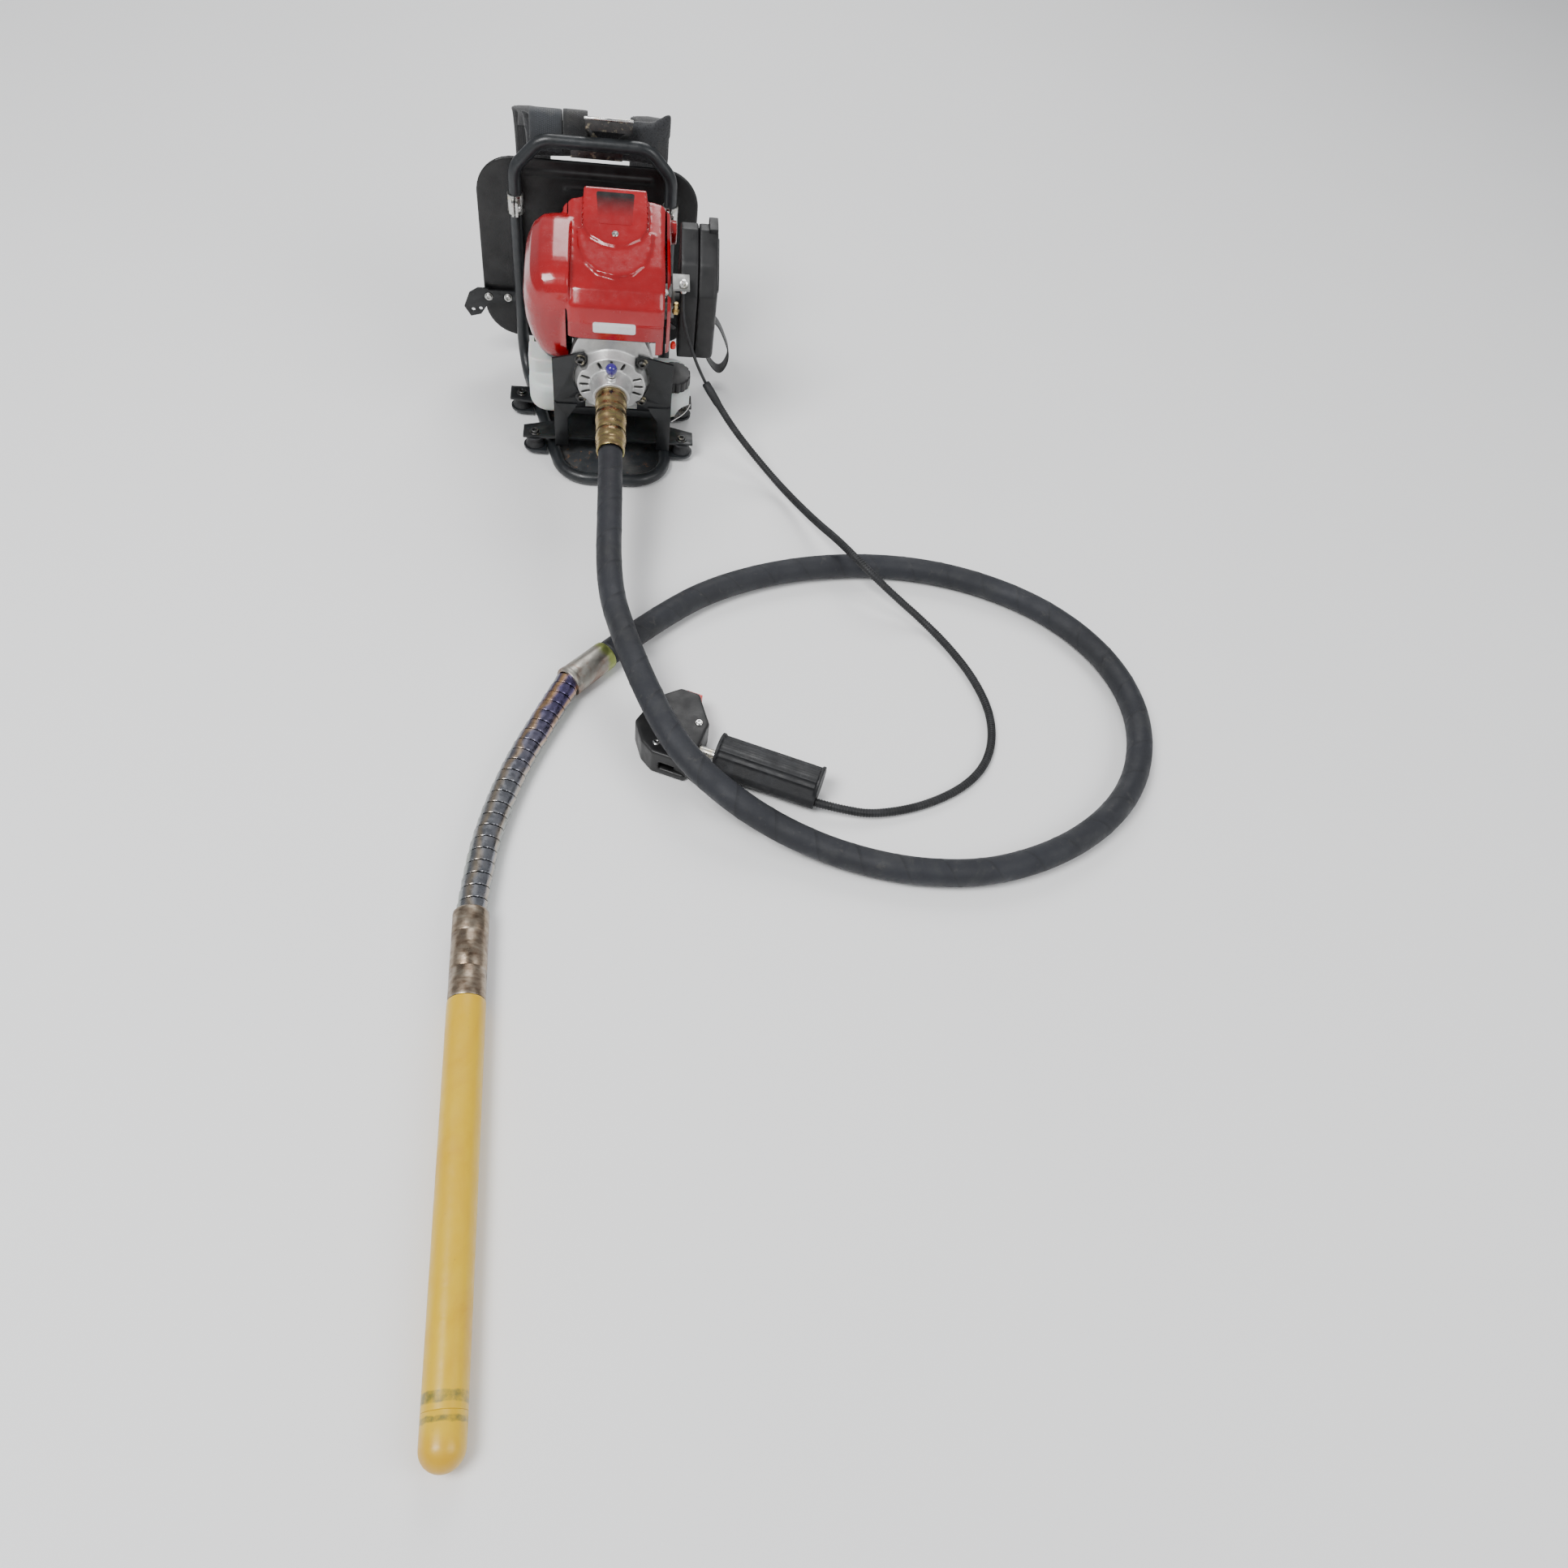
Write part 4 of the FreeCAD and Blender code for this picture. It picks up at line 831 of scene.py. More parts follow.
def red_moulding():
    base = tuple(colours().red)
    fin = Finish("red_moulding", base, 0.22, Coat_Weight=0.5, Coat_Roughness=0.06)
    body = fin.mix(fin.spots(14.0, 0.35, 0.7, detail=2.0), base, tint(base, 0.72))
    fin.put("Base Color", dusted(fin, body, (0.30, 0.03, 0.03), 60.0, 0.10))
    fin.gloss(0.16, 0.34, 90.0, detail=5.0, rough=0.6, start=0.35, end=0.75)
    fin.relief((fin.noise(420.0, 2.0), 0.00006), (fin.noise(1900.0, 2.0), 0.00002))
    return fin.material


def black_moulding(name="black_moulding", factor=1.0, grain=1400.0, rough=0.46):
    base = tint(colours().black, factor)
    fin = Finish(name, base, rough)
    grey = fin.mix(fin.spots(30.0, 0.4, 0.7), base, tint(base, 1.7))
    fin.put("Base Color", dusted(fin, grey, (0.05, 0.048, 0.044), 26.0, 0.22))
    fin.gloss(rough - 0.1, rough + 0.16, 55.0, detail=5.0, end=0.75)
    fin.relief((fin.cells(grain), 0.00008), (fin.noise(240.0, 3.0), 0.00005))
    return fin.material


def powder_coat(name="powder_coat", factor=1.0, scuff=0.5):
    base = tint(colours().charcoal, factor)
    fin = Finish(name, base, 0.38)
    scratch = fin.noise(40.0, 8.0, 0.75, fin.where(scale=(1.0, 1.0, 0.3)), 0.4)
    worn = fin.span(scratch, 0.64, 0.72, 0.0, scuff)
    body = fin.mix(fin.spots(25.0, 0.4, 0.65, detail=3.0), base, tint(base, 1.8))
    fin.put("Base Color", fin.mix(worn, body, (0.20, 0.20, 0.19)))
    fin.gloss(0.28, 0.5, 130.0, start=0.35)
    fin.relief((fin.noise(900.0, 2.0), 0.00012), (worn, 0.00008))
    return fin.material


def rusty_paint():
    base = tint(colours().charcoal, 1.9)
    fin = Finish("rusty_paint", base, 0.6)
    specks = fin.spots(160.0, 0.60, 0.68, detail=6.0, rough=0.7)
    rust = fin.ramp(fin.noise(60.0, 4.0), [(0.35, (0.11, 0.045, 0.018)), (0.7, (0.24, 0.12, 0.05))])
    dust = fin.spots(18.0, 0.45, 0.75, 0.5, detail=5.0, rough=0.65)
    body = fin.mix(dust, base, (0.15, 0.14, 0.125))
    fin.put("Base Color", fin.mix(specks, body, rust))
    fin.gloss(0.42, 0.8, 80.0)
    fin.relief((fin.noise(420.0, 5.0), 0.00018), (specks, 0.0001))
    return fin.material


def cast_alloy(name, tone, rough):
    fin = Finish(name, tone, rough, 0.85)
    grain = fin.noise(520.0, 5.0, 0.65)
    stain = fin.spots(30.0, 0.42, 0.72, detail=5.0, rough=0.6, twist=0.5)
    body = fin.mix(stain, tone, tint(tone, 0.62))
    fin.put("Base Color", fin.mix(fin.span(grain, 0.45, 0.7, 0.0, 0.25), body, tint(tone, 0.5)))
    fin.gloss(rough - 0.08, rough + 0.2, 70.0, end=0.75)
    fin.relief((grain, 0.00022), (fin.noise(110.0, 2.0), 0.0002))
    return fin.material


def plated_steel(name="plated_steel", tone=(0.62, 0.62, 0.60), rough=0.3):
    fin = Finish(name, tone, rough, 1.0)
    film = fin.ramp(fin.noise(120.0, 3.0), [(0.3, tone), (0.55, tint(tone, 0.8)), (0.75, (0.62, 0.56, 0.40))])
    tarnish = fin.spots(260.0, 0.56, 0.74, 0.6, detail=5.0, rough=0.7)
    fin.put("Base Color", fin.mix(tarnish, film, (0.20, 0.17, 0.14)))
    fin.gloss(rough - 0.1, rough + 0.2, 180.0)
    fin.relief((fin.noise(700.0, 3.0), 0.00006), (tarnish, 0.00004))
    return fin.material


def hose_rubber():
    base = tuple(colours().hose)
    fin = Finish("hose_rubber", base, 0.5)
    run, turned = fin.run_and_turn()
    wrap = fin.maths("FRACT", fin.maths("MULTIPLY_ADD", run, WRAPS_PER_METRE, turned))
    lap = fin.span(wrap, 0.0, 0.09, 1.0, 0.0)
    warp = fin.maths("SINE", fin.maths("MULTIPLY", run, 5200.0))
    weft = fin.maths("SINE", fin.maths("MULTIPLY", turned, 565.5))
    cloth = fin.maths("MULTIPLY", warp, weft)
    blotch = fin.spots(24.0, 0.56, 0.78, 0.42, detail=6.0, rough=0.65, twist=0.8)
    streak = fin.spots(75.0, 0.60, 0.76, 0.45, detail=7.0, rough=0.7)
    body = fin.mix(fin.spots(11.0, 0.35, 0.7, detail=3.0), base, tint(base, 1.7))
    body = fin.mix(fin.maths("MULTIPLY", lap, 0.5), body, tint(base, 0.45))
    body = fin.mix(blotch, body, (0.045, 0.046, 0.042))
    fin.put("Base Color", fin.mix(streak, body, (0.085, 0.080, 0.068)))
    fin.gloss(0.46, 0.72, 40.0)
    fin.relief((lap, 0.0005), (cloth, 0.00005), (fin.noise(300.0, 4.0), 0.0002))
    return fin.material


def guard_strip():
    """Zinc-plated strip: the oil-film colours of its passivation are laid round it by angle, so they run
    along it as painted reflection streaks.
    """
    steel = (0.30, 0.32, 0.30)
    fin = Finish("guard_strip", steel, 0.25, 1.0)
    run, turned = fin.run_and_turn()
    # Painted reflection: the colour is set by the angle round the tube, so orange and purple streaks run
    # along its length like reflections.
    around = fin.maths("MULTIPLY_ADD", fin.noise(30.0, 2.0), 0.22, turned)
    hues = fin.ramp(fin.maths("FRACT", around), [
        (0.00, (0.12, 0.12, 0.16)), (0.14, (0.24, 0.28, 0.22)), (0.26, (0.12, 0.10, 0.20)),
        (0.33, (0.60, 0.34, 0.14)), (0.38, (0.10, 0.08, 0.20)), (0.50, (0.13, 0.10, 0.24)),
        (0.55, (0.50, 0.30, 0.18)), (0.60, (0.16, 0.17, 0.20)), (0.76, (0.28, 0.33, 0.22)),
        (1.00, (0.12, 0.12, 0.16)),
    ])
    # The painted reflection colours are strongest near the ferrule and fall back to plain steel further
    # along.
    ends = fin.span(run, 0.03, 0.16, 0.9, 0.3)
    body = fin.mix(ends, steel, hues)
    seam = fin.maths("FRACT", fin.maths("MULTIPLY_ADD", run, 1.0 / sizes().guard_pitch, turned))
    dark = fin.maths("LESS_THAN", seam, SEAM_SHARE)
    grime = fin.spots(160.0, 0.56, 0.74, 0.4, rough=0.6)
    body = fin.mix(grime, body, (0.10, 0.08, 0.06))
    fin.put("Base Color", fin.mix(fin.maths("MULTIPLY", dark, 0.97), body, (0.004, 0.004, 0.004)))
    fin.gloss(0.16, 0.42, 160.0)
    fin.relief((fin.noise(600.0, 3.0), 0.00005), (grime, 0.00005))
    return fin.material


def chromate_plate():
    tone = (0.62, 0.50, 0.20)
    fin = Finish("chromate_plate", tone, 0.22, 1.0)
    rings = fin.noise(6.0, 3.0, 0.6, fin.where("UV", scale=(0.6, 60.0, 1.0)))
    hues = fin.ramp(rings, [
        (0.30, (0.20, 0.16, 0.08)), (0.44, (0.46, 0.36, 0.15)), (0.55, (0.34, 0.21, 0.13)),
        (0.66, (0.32, 0.36, 0.13)), (0.80, (0.50, 0.42, 0.22)),
    ])
    grime = fin.spots(90.0, 0.52, 0.75, 0.55, detail=5.0, rough=0.65)
    fin.put("Base Color", fin.mix(grime, hues, (0.14, 0.10, 0.06)))
    fin.gloss(0.16, 0.4, 120.0)
    fin.relief((fin.noise(300.0, 3.0), 0.00005), (rings, 0.00005))
    return fin.material


def ferrule_plate():
    """Dull zinc with rust at the guard end and a green-yellow passivated band at the hose end."""
    tone = (0.34, 0.325, 0.29)
    fin = Finish("ferrule_plate", tone, 0.4, 0.9)
    run = fin.part(fin.where("UV"), 1)
    wander = fin.maths("MULTIPLY_ADD", fin.noise(60.0, 4.0), 0.016, run)
    band = fin.span(wander, 0.016, 0.022, 1.0, 0.0)
    rust = fin.spots(46.0, 0.42, 0.66, 0.8, detail=5.0, rough=0.6, twist=0.6)
    body = fin.mix(rust, tone, (0.20, 0.095, 0.06))
    fin.put("Base Color", fin.mix(band, body, (0.28, 0.32, 0.10)))
    fin.gloss(0.3, 0.55, 90.0)
    fin.relief((fin.noise(350.0, 4.0), 0.00012), (rust, 0.00006))
    return fin.material


def oiled_steel():
    tone = (0.36, 0.31, 0.25)
    fin = Finish("oiled_steel", tone, 0.32, 1.0)
    turned = fin.noise(5.0, 3.0, 0.6, fin.where("UV", scale=(1.2, 24.0, 1.0)))
    body = fin.ramp(turned, [
        (0.3, (0.13, 0.09, 0.06)), (0.5, (0.30, 0.24, 0.18)), (0.72, (0.44, 0.38, 0.30)),
    ])
    stain = fin.spots(38.0, 0.48, 0.70, 0.75, detail=6.0, rough=0.65, twist=0.7)
    fin.put("Base Color", fin.mix(stain, body, (0.11, 0.06, 0.032)))
    fin.gloss(0.22, 0.5, 80.0, detail=5.0, end=0.72)
    fin.relief((turned, 0.00012), (fin.noise(420.0, 4.0), 0.0001))
    return fin.material


def head_enamel():
    """Yellow enamel, stained towards orange, with plain smudged bands round it near the tip."""
    base = tuple(colours().yellow)
    fin = Finish("head_enamel", base, 0.36, Coat_Weight=0.2, Coat_Roughness=0.3)
    run = fin.part(fin.where("UV"), 1)
    clouds = fin.noise(16.0, 6.0, 0.62, fin.where(scale=(1.4, 0.7, 1.0)), 0.7)
    stain = fin.span(clouds, 0.40, 0.72, 0.0, 0.7)
    body = fin.mix(stain, base, (0.50, 0.24, 0.0))
    pale = fin.spots(28.0, 0.55, 0.75, 0.35)
    body = fin.mix(pale, body, (0.70, 0.48, 0.0))
    rough_edge = fin.maths("MULTIPLY_ADD", fin.noise(120.0, 4.0), 0.004, run)
    smear = fin.noise(95.0, 5.0, 0.7)
    for place, half in TIP_BANDS:
        away = fin.maths("ABSOLUTE", fin.maths("SUBTRACT", rough_edge, place))
        mark = fin.span(away, half, half + 0.0012, 1.0, 0.0)
        mark = fin.maths("MULTIPLY", mark, fin.span(smear, 0.38, 0.62, 0.25, 0.85))
        body = fin.mix(mark, body, (0.09, 0.10, 0.03))
    place, half = STEP_MARK
    step = fin.span(fin.maths("ABSOLUTE", fin.maths("SUBTRACT", run, place)), 0.0, half, 1.0, 0.0)
    body = fin.mix(fin.maths("MULTIPLY", step, 0.3), body, (0.42, 0.17, 0.002))
    chips = fin.spots(330.0, 0.68, 0.72, 0.8, detail=5.0, rough=0.7)
    fin.put("Base Color", fin.mix(chips, body, (0.20, 0.12, 0.04)))
    fin.gloss(0.28, 0.5, 70.0, detail=5.0)
    fin.relief((fin.noise(45.0, 3.0), 0.0006), (fin.noise(700.0, 3.0), 0.00005), (chips, 0.00006))
    return fin.material


def milky_plastic():
    base = tuple(colours().tank)
    fin = Finish("milky_plastic", base, 0.34, Subsurface_Weight=0.35, Subsurface_Scale=0.01)
    fill = fin.part(fin.where(), 2)
    fuel = fin.span(fill, 0.035, 0.062, 0.45, 0.0)
    body = fin.mix(fuel, base, (0.66, 0.60, 0.44))
    fin.put("Base Color", dusted(fin, body, (0.42, 0.40, 0.36), 34.0, 0.3))
    fin.gloss(0.28, 0.46, 60.0)
    fin.relief((fin.noise(500.0, 3.0), 0.00008), (fin.noise(60.0, 2.0), 0.0002))
    return fin.material


def ball_plastic():
    base = tuple(colours().knob)
    fin = Finish("ball_plastic", base, 0.16, Coat_Weight=0.7, Coat_Roughness=0.05)
    fin.put("Base Color", fin.mix(fin.spots(140.0, 0.4, 0.7), base, tint(base, 0.6)))
    fin.gloss(0.12, 0.3, 300.0)
    fin.relief((fin.noise(500.0, 2.0), 0.00003), (fin.noise(90.0, 2.0), 0.00005))
    return fin.material


def switch_plastic():
    base = tuple(colours().switch)
    fin = Finish("switch_plastic", base, 0.3)
    fin.put("Base Color", dusted(fin, base, (0.25, 0.06, 0.05), 150.0, 0.4))
    fin.gloss(0.22, 0.42, 240.0)
    fin.relief((fin.noise(900.0, 3.0), 0.00005), (fin.noise(200.0, 2.0), 0.00005))
    return fin.material


def soft_rubber(name="soft_rubber", factor=1.0):
    base = tint((0.0085, 0.009, 0.0105), factor)
    fin = Finish(name, base, 0.6)
    bloom = fin.spots(35.0, 0.48, 0.76, 0.4, detail=6.0, rough=0.65, twist=0.5)
    body = fin.mix(bloom, base, (0.040, 0.042, 0.048))
    fin.put("Base Color", dusted(fin, body, (0.07, 0.065, 0.06), 90.0, 0.2))
    fin.gloss(0.45, 0.72, 65.0)
    fin.relief((fin.cells(900.0), 0.00006), (fin.noise(260.0, 3.0), 0.0001))
    return fin.material


def woven_webbing(name="woven_webbing", tone=(0.0095, 0.0098, 0.0115)):
    """Ribbed webbing: UV runs along the strap in metres and round it as a share."""
    fin = Finish(name, tone, 0.8, Sheen_Weight=0.3, Sheen_Roughness=0.5)
    run, turned = fin.run_and_turn()
    rib = fin.maths("SINE", fin.maths("MULTIPLY", run, 4200.0))
    cord = fin.maths("SINE", fin.maths("MULTIPLY", turned, 376.99))
    weave = fin.maths("MULTIPLY", rib, cord)
    light = fin.mix(fin.span(weave, -0.2, 0.9), tint(tone, 0.55), tint(tone, 1.9))
    fin.put("Base Color", dusted(fin, light, (0.12, 0.115, 0.10), 40.0, 0.3))
    fin.gloss(0.7, 0.92, 120.0)
    fin.relief((weave, 0.00022), (fin.noise(600.0, 4.0), 0.00012))
    return fin.material


def mesh_cloth():
    """Open-celled spacer cloth over foam."""
    tone = (0.009, 0.0095, 0.011)
    fin = Finish("mesh_cloth", tone, 0.85, Sheen_Weight=0.35, Sheen_Roughness=0.5)
    cells = fin.cells(420.0, fin.where(scale=(1.0, 0.35, 1.0)))
    holes = fin.span(cells, 0.10, 0.45)
    body = fin.mix(holes, tint(tone, 0.35), tint(tone, 2.0))
    fin.put("Base Color", dusted(fin, body, (0.11, 0.105, 0.09), 20.0, 0.28))
    fin.gloss(0.75, 0.95, 90.0)
    fin.relief((cells, 0.0006), (fin.noise(260.0, 4.0), 0.0002))
    return fin.material


def label_film():
    fin = Finish("label_film", (0.74, 0.76, 0.77), 0.35)
    uv = fin.where("UV")
    edge = fin.maths("MINIMUM", fin.part(uv, 1), fin.maths("SUBTRACT", 1.0, fin.part(uv, 1)))
    rim = fin.span(edge, 0.10, 0.13, 1.0, 0.0)
    body = fin.mix(fin.maths("MULTIPLY", rim, 0.35), (0.74, 0.76, 0.77), (0.42, 0.45, 0.47))
    fin.put("Base Color", dusted(fin, body, (0.45, 0.40, 0.38), 70.0, 0.4))
    fin.gloss(0.28, 0.46, 100.0)
    fin.relief((fin.noise(300.0, 3.0), 0.00006), (rim, 0.00004))
    return fin.material


def fade_film():
    """Printed panel that fades from black at its top to the cover's red."""
    base = tuple(colours().red)
    fin = Finish("fade_film", base, 0.2, Coat_Weight=0.5, Coat_Roughness=0.1)
    up = fin.part(fin.where("UV"), 1)
    dots = fin.maths("MULTIPLY_ADD", fin.noise(700.0, 2.0), 0.22, up)
    fade = fin.span(dots, 0.35, 1.0)
    fin.put("Base Color", fin.mix(fade, tint(base, 0.8), (0.008, 0.006, 0.006)))
    fin.gloss(0.16, 0.3, 90.0)
    fin.relief((fin.noise(420.0, 2.0), 0.00004), (fin.noise(80.0, 2.0), 0.00005))
    return fin.material


MAKERS = {
    "red": red_moulding,
    "black": black_moulding,
    "panel": lambda: black_moulding("panel_moulding", 0.6, 900.0, 0.42),
    "coat": powder_coat,
    "bracket": lambda: powder_coat("bracket_paint", 0.5, 0.25),
    "rusty": rusty_paint,
    "alloy": lambda: cast_alloy("cast_alloy", (0.62, 0.62, 0.61), 0.36),
    "dark_alloy": lambda: cast_alloy("dark_alloy", (0.34, 0.34, 0.33), 0.5),
    "zinc": plated_steel,
    "dark_steel": lambda: plated_steel("dark_steel", (0.10, 0.10, 0.10), 0.4),
    "bright": lambda: plated_steel("bright_steel", (0.74, 0.74, 0.73), 0.2),
    "brass": lambda: plated_steel("brass_part", (0.66, 0.47, 0.18), 0.26),
    "hose": hose_rubber,
    "guard": guard_strip,
    "chromate": chromate_plate,
    "ferrule": ferrule_plate,
    "oiled": oiled_steel,
    "enamel": head_enamel,
    "milky": milky_plastic,
    "ball": ball_plastic,
    "switch": switch_plastic,
    "rubber": soft_rubber,
    "conduit": lambda: soft_rubber("conduit_plastic", 0.8),
    "webbing": woven_webbing,
    "grey_webbing": lambda: woven_webbing("grey_webbing", (0.034, 0.038, 0.044)),
    "cloth": mesh_cloth,
    "label": label_film,
    "fade": fade_film,
    "ceramic": lambda: plated_steel("plug_ceramic", (0.75, 0.74, 0.70), 0.2),
}
MADE = {}


def finish(name):
    """A material by name, made once."""
    if name not in MADE:
        MADE[name] = MAKERS[name]()
    return MADE[name]


# ---- operators ----------------------------------------------------------------------------------
class VIBRATOR_OT_camera(bpy.types.Operator):
    """Stand the camera over the front of the machine"""

    bl_idname = "vibrator.camera"
    bl_label = "Camera"

    def execute(self, context):
        view = context.scene.vibrator_view
        lens = bpy.data.cameras.new("camera")
        lens.sensor_width = SENSOR_WIDTH
        lens.lens = view.lens
        lens.clip_end = FAR_CLIP
        ahead = Vector((
            math.sin(view.heading) * math.cos(view.pitch),
            math.cos(view.heading) * math.cos(view.pitch),
            -math.sin(view.pitch),
        ))
        level = Vector((math.cos(view.heading), -math.sin(view.heading), 0.0))
        right = level * math.cos(view.roll) + level.cross(ahead) * math.sin(view.roll)
        turned = Matrix((right, right.cross(ahead), -ahead)).transposed().to_4x4()
        camera = new_object("camera", lens)
        camera.matrix_world = Matrix.Translation(view.place) @ turned
        context.scene.camera = camera
        return {"FINISHED"}


class VIBRATOR_OT_hose(bpy.types.Operator):
    """Lay the rubber-covered flexible shaft"""

    bl_idname = "vibrator.hose"
    bl_label = "Hose"

    def execute(self, context):
        radius = sizes().hose_diameter / 2
        points = line_of(HOSE_ROUTE, 0.004)

        def wrapped(s, share):
            """A shallow step where the cloth wrap laps over itself."""
            return radius - WRAP_STEP * min(((s * WRAPS_PER_METRE + share) % 1.0) / 0.10, 1.0)

        mesh = sweep("hose", points, round_section(wrapped, 56))
        hose = piece("hose_tube", mesh, "hose", ["hose"])
        ferrule = self.make_ferrule()
        return {"FINISHED"}

    def make_ferrule(self):
        start = Vector(HOSE_ROUTE[-1])
        end = Vector(GUARD_ROUTE[0])
        run = (end - start).length / MM
        mesh = lathe("hose_ferrule", [
            (14.2, 0.0), (15.6, 0.0), (16.3, 0.8), (16.6, 3.0), (16.7, 14.0), (17.0, run - 8.0),
            (17.1, run - 6.5), (17.5, run - 6.0), (17.5, run - 1.0), (17.0, run - 0.2),
            (14.2, run - 0.2), (13.6, run - 3.0), (14.2, 0.0),
        ])
        mesh.transform(along(start, end - start))
        return piece("ferrule_cup", mesh, "ferrule", ["hose_ferrule"], 40)


class VIBRATOR_OT_guard(bpy.types.Operator):
    """Wind the interlocked steel bend guard"""

    bl_idname = "vibrator.guard"
    bl_label = "Bend guard"

    def execute(self, context):
        radius = sizes().guard_diameter / 2
        pitch = sizes().guard_pitch
        points = line_of(GUARD_ROUTE, 0.0005)

        def lapped(s, share):
            """The strip leans in a little over each turn and drops into a seam at its edge."""
            place = (s / pitch + share) % 1.0
            if place < SEAM_SHARE:
                return radius - SEAM_DEPTH
            return radius - STRIP_LEAN * (place - SEAM_SHARE)

        mesh = sweep("guard", points, round_section(lapped, 72))
        guard = piece("guard_tube", mesh, "guard", ["flex_guard"], 40)
        return {"FINISHED"}


class VIBRATOR_OT_throttle_line(bpy.types.Operator):
    """Run the throttle cable and its ribbed conduit to the grip"""

    bl_idname = "vibrator.throttle_line"
    bl_label = "Throttle line"

    def execute(self, context):
        points = line_of(CABLE_ROUTE, 0.003)
        mesh = sweep("cable", points, even_section(sizes().cable_diameter / 2, 20))
        cable = piece("cable_tube", mesh, "conduit", ["throttle_cable"])
        line = line_of(CONDUIT_ROUTE, 0.004)
        mesh = sweep("conduit", line, even_section(sizes().conduit_diameter / 2 - RIB_HEIGHT, 24))
        conduit = piece("conduit_tube", mesh, "conduit", ["cable_conduit"])
        rib = lathe("rib_one", [(4.1, -0.8), (4.8, -0.6), (5.0, 0.0), (4.8, 0.6), (4.1, 0.8)], 14)
        ribs = pieces_along("conduit_ribs", line, sizes().conduit_pitch, rib, "conduit")
        belongs(ribs, None)
        collar = lathe("conduit_collar", [
            (2.1, -2.0), (4.2, -2.0), (5.4, 0.0), (5.6, 12.0), (5.2, 26.0), (4.9, 30.0), (4.4, 30.0),
        ], 32)
        collar.transform(along(line[0], line[4] - line[0]))
        boot = piece("conduit_boot", collar, "rubber", angle=40)
        return {"FINISHED"}


class VIBRATOR_OT_head(bpy.types.Operator):
    """Turn the connector and the poker head"""

    bl_idname = "vibrator.head"
    bl_label = "Poker head"

    def execute(self, context):
        r = HEAD_RADIUS
        end = CONNECTOR_LEN
        self.add("connector_steel", "connector_steel", "oiled", "head_connector", 96, [
            (14.7, 0.3), (16.0, 0.4), (16.9, 1.6), (17.2, 4.0), (17.2, 26.0), (16.9, 26.6), (17.2, 27.2),
            (17.2, end - 31.0), (16.8, end - 30.4), (16.8, end - 29.2), (17.2, end - 28.6),
            (17.2, end - 1.6), (16.8, end - 0.3), (11.0, end - 0.3), (11.0, 12.0), (14.7, 12.0),
            (14.7, 0.3),
        ])
        start = end
        end += HEAD_LEN
        self.add("head_shell", "head_paint", "enamel", "head_tube", 128, [
            (13.5, start), (r - 1.0, start), (r - 0.2, start + 0.9), (r, start + 2.2), (r, start + 50.0),
            (r - 0.12, start + 52.0), (r - 0.12, start + 55.0), (r, start + 57.0), (r, end - 60.0),
            (r, end - 40.4), (r - 0.3, end - 40.05), (13.5, end - 40.05), (13.5, start),
        ])
        nose = [(13.0, end - 39.9), (r - 0.3, end - 39.9), (r, end - 39.5), (r, end - r)]
        for i in range(1, 16):
            angle = math.radians(90.0 * i / 16)
            nose.append((r * math.cos(angle), end - r + r * math.sin(angle)))
        nose += [(0.0, end), (0.0, end - 8.0), (9.0, end - 14.0), (13.0, end - 39.9)]
        self.add("head_nose", "head_paint", "enamel", "head_tip", 128, nose)
        return {"FINISHED"}

    def add(self, name, slot, look, node, segments, profile):
        """One turned part of the head, its profile measured from the guard's end."""
        mesh = lathe(name, profile, segments)
        mesh.transform(HEAD @ LYING)
        piece(name, mesh, look, [node], 40)


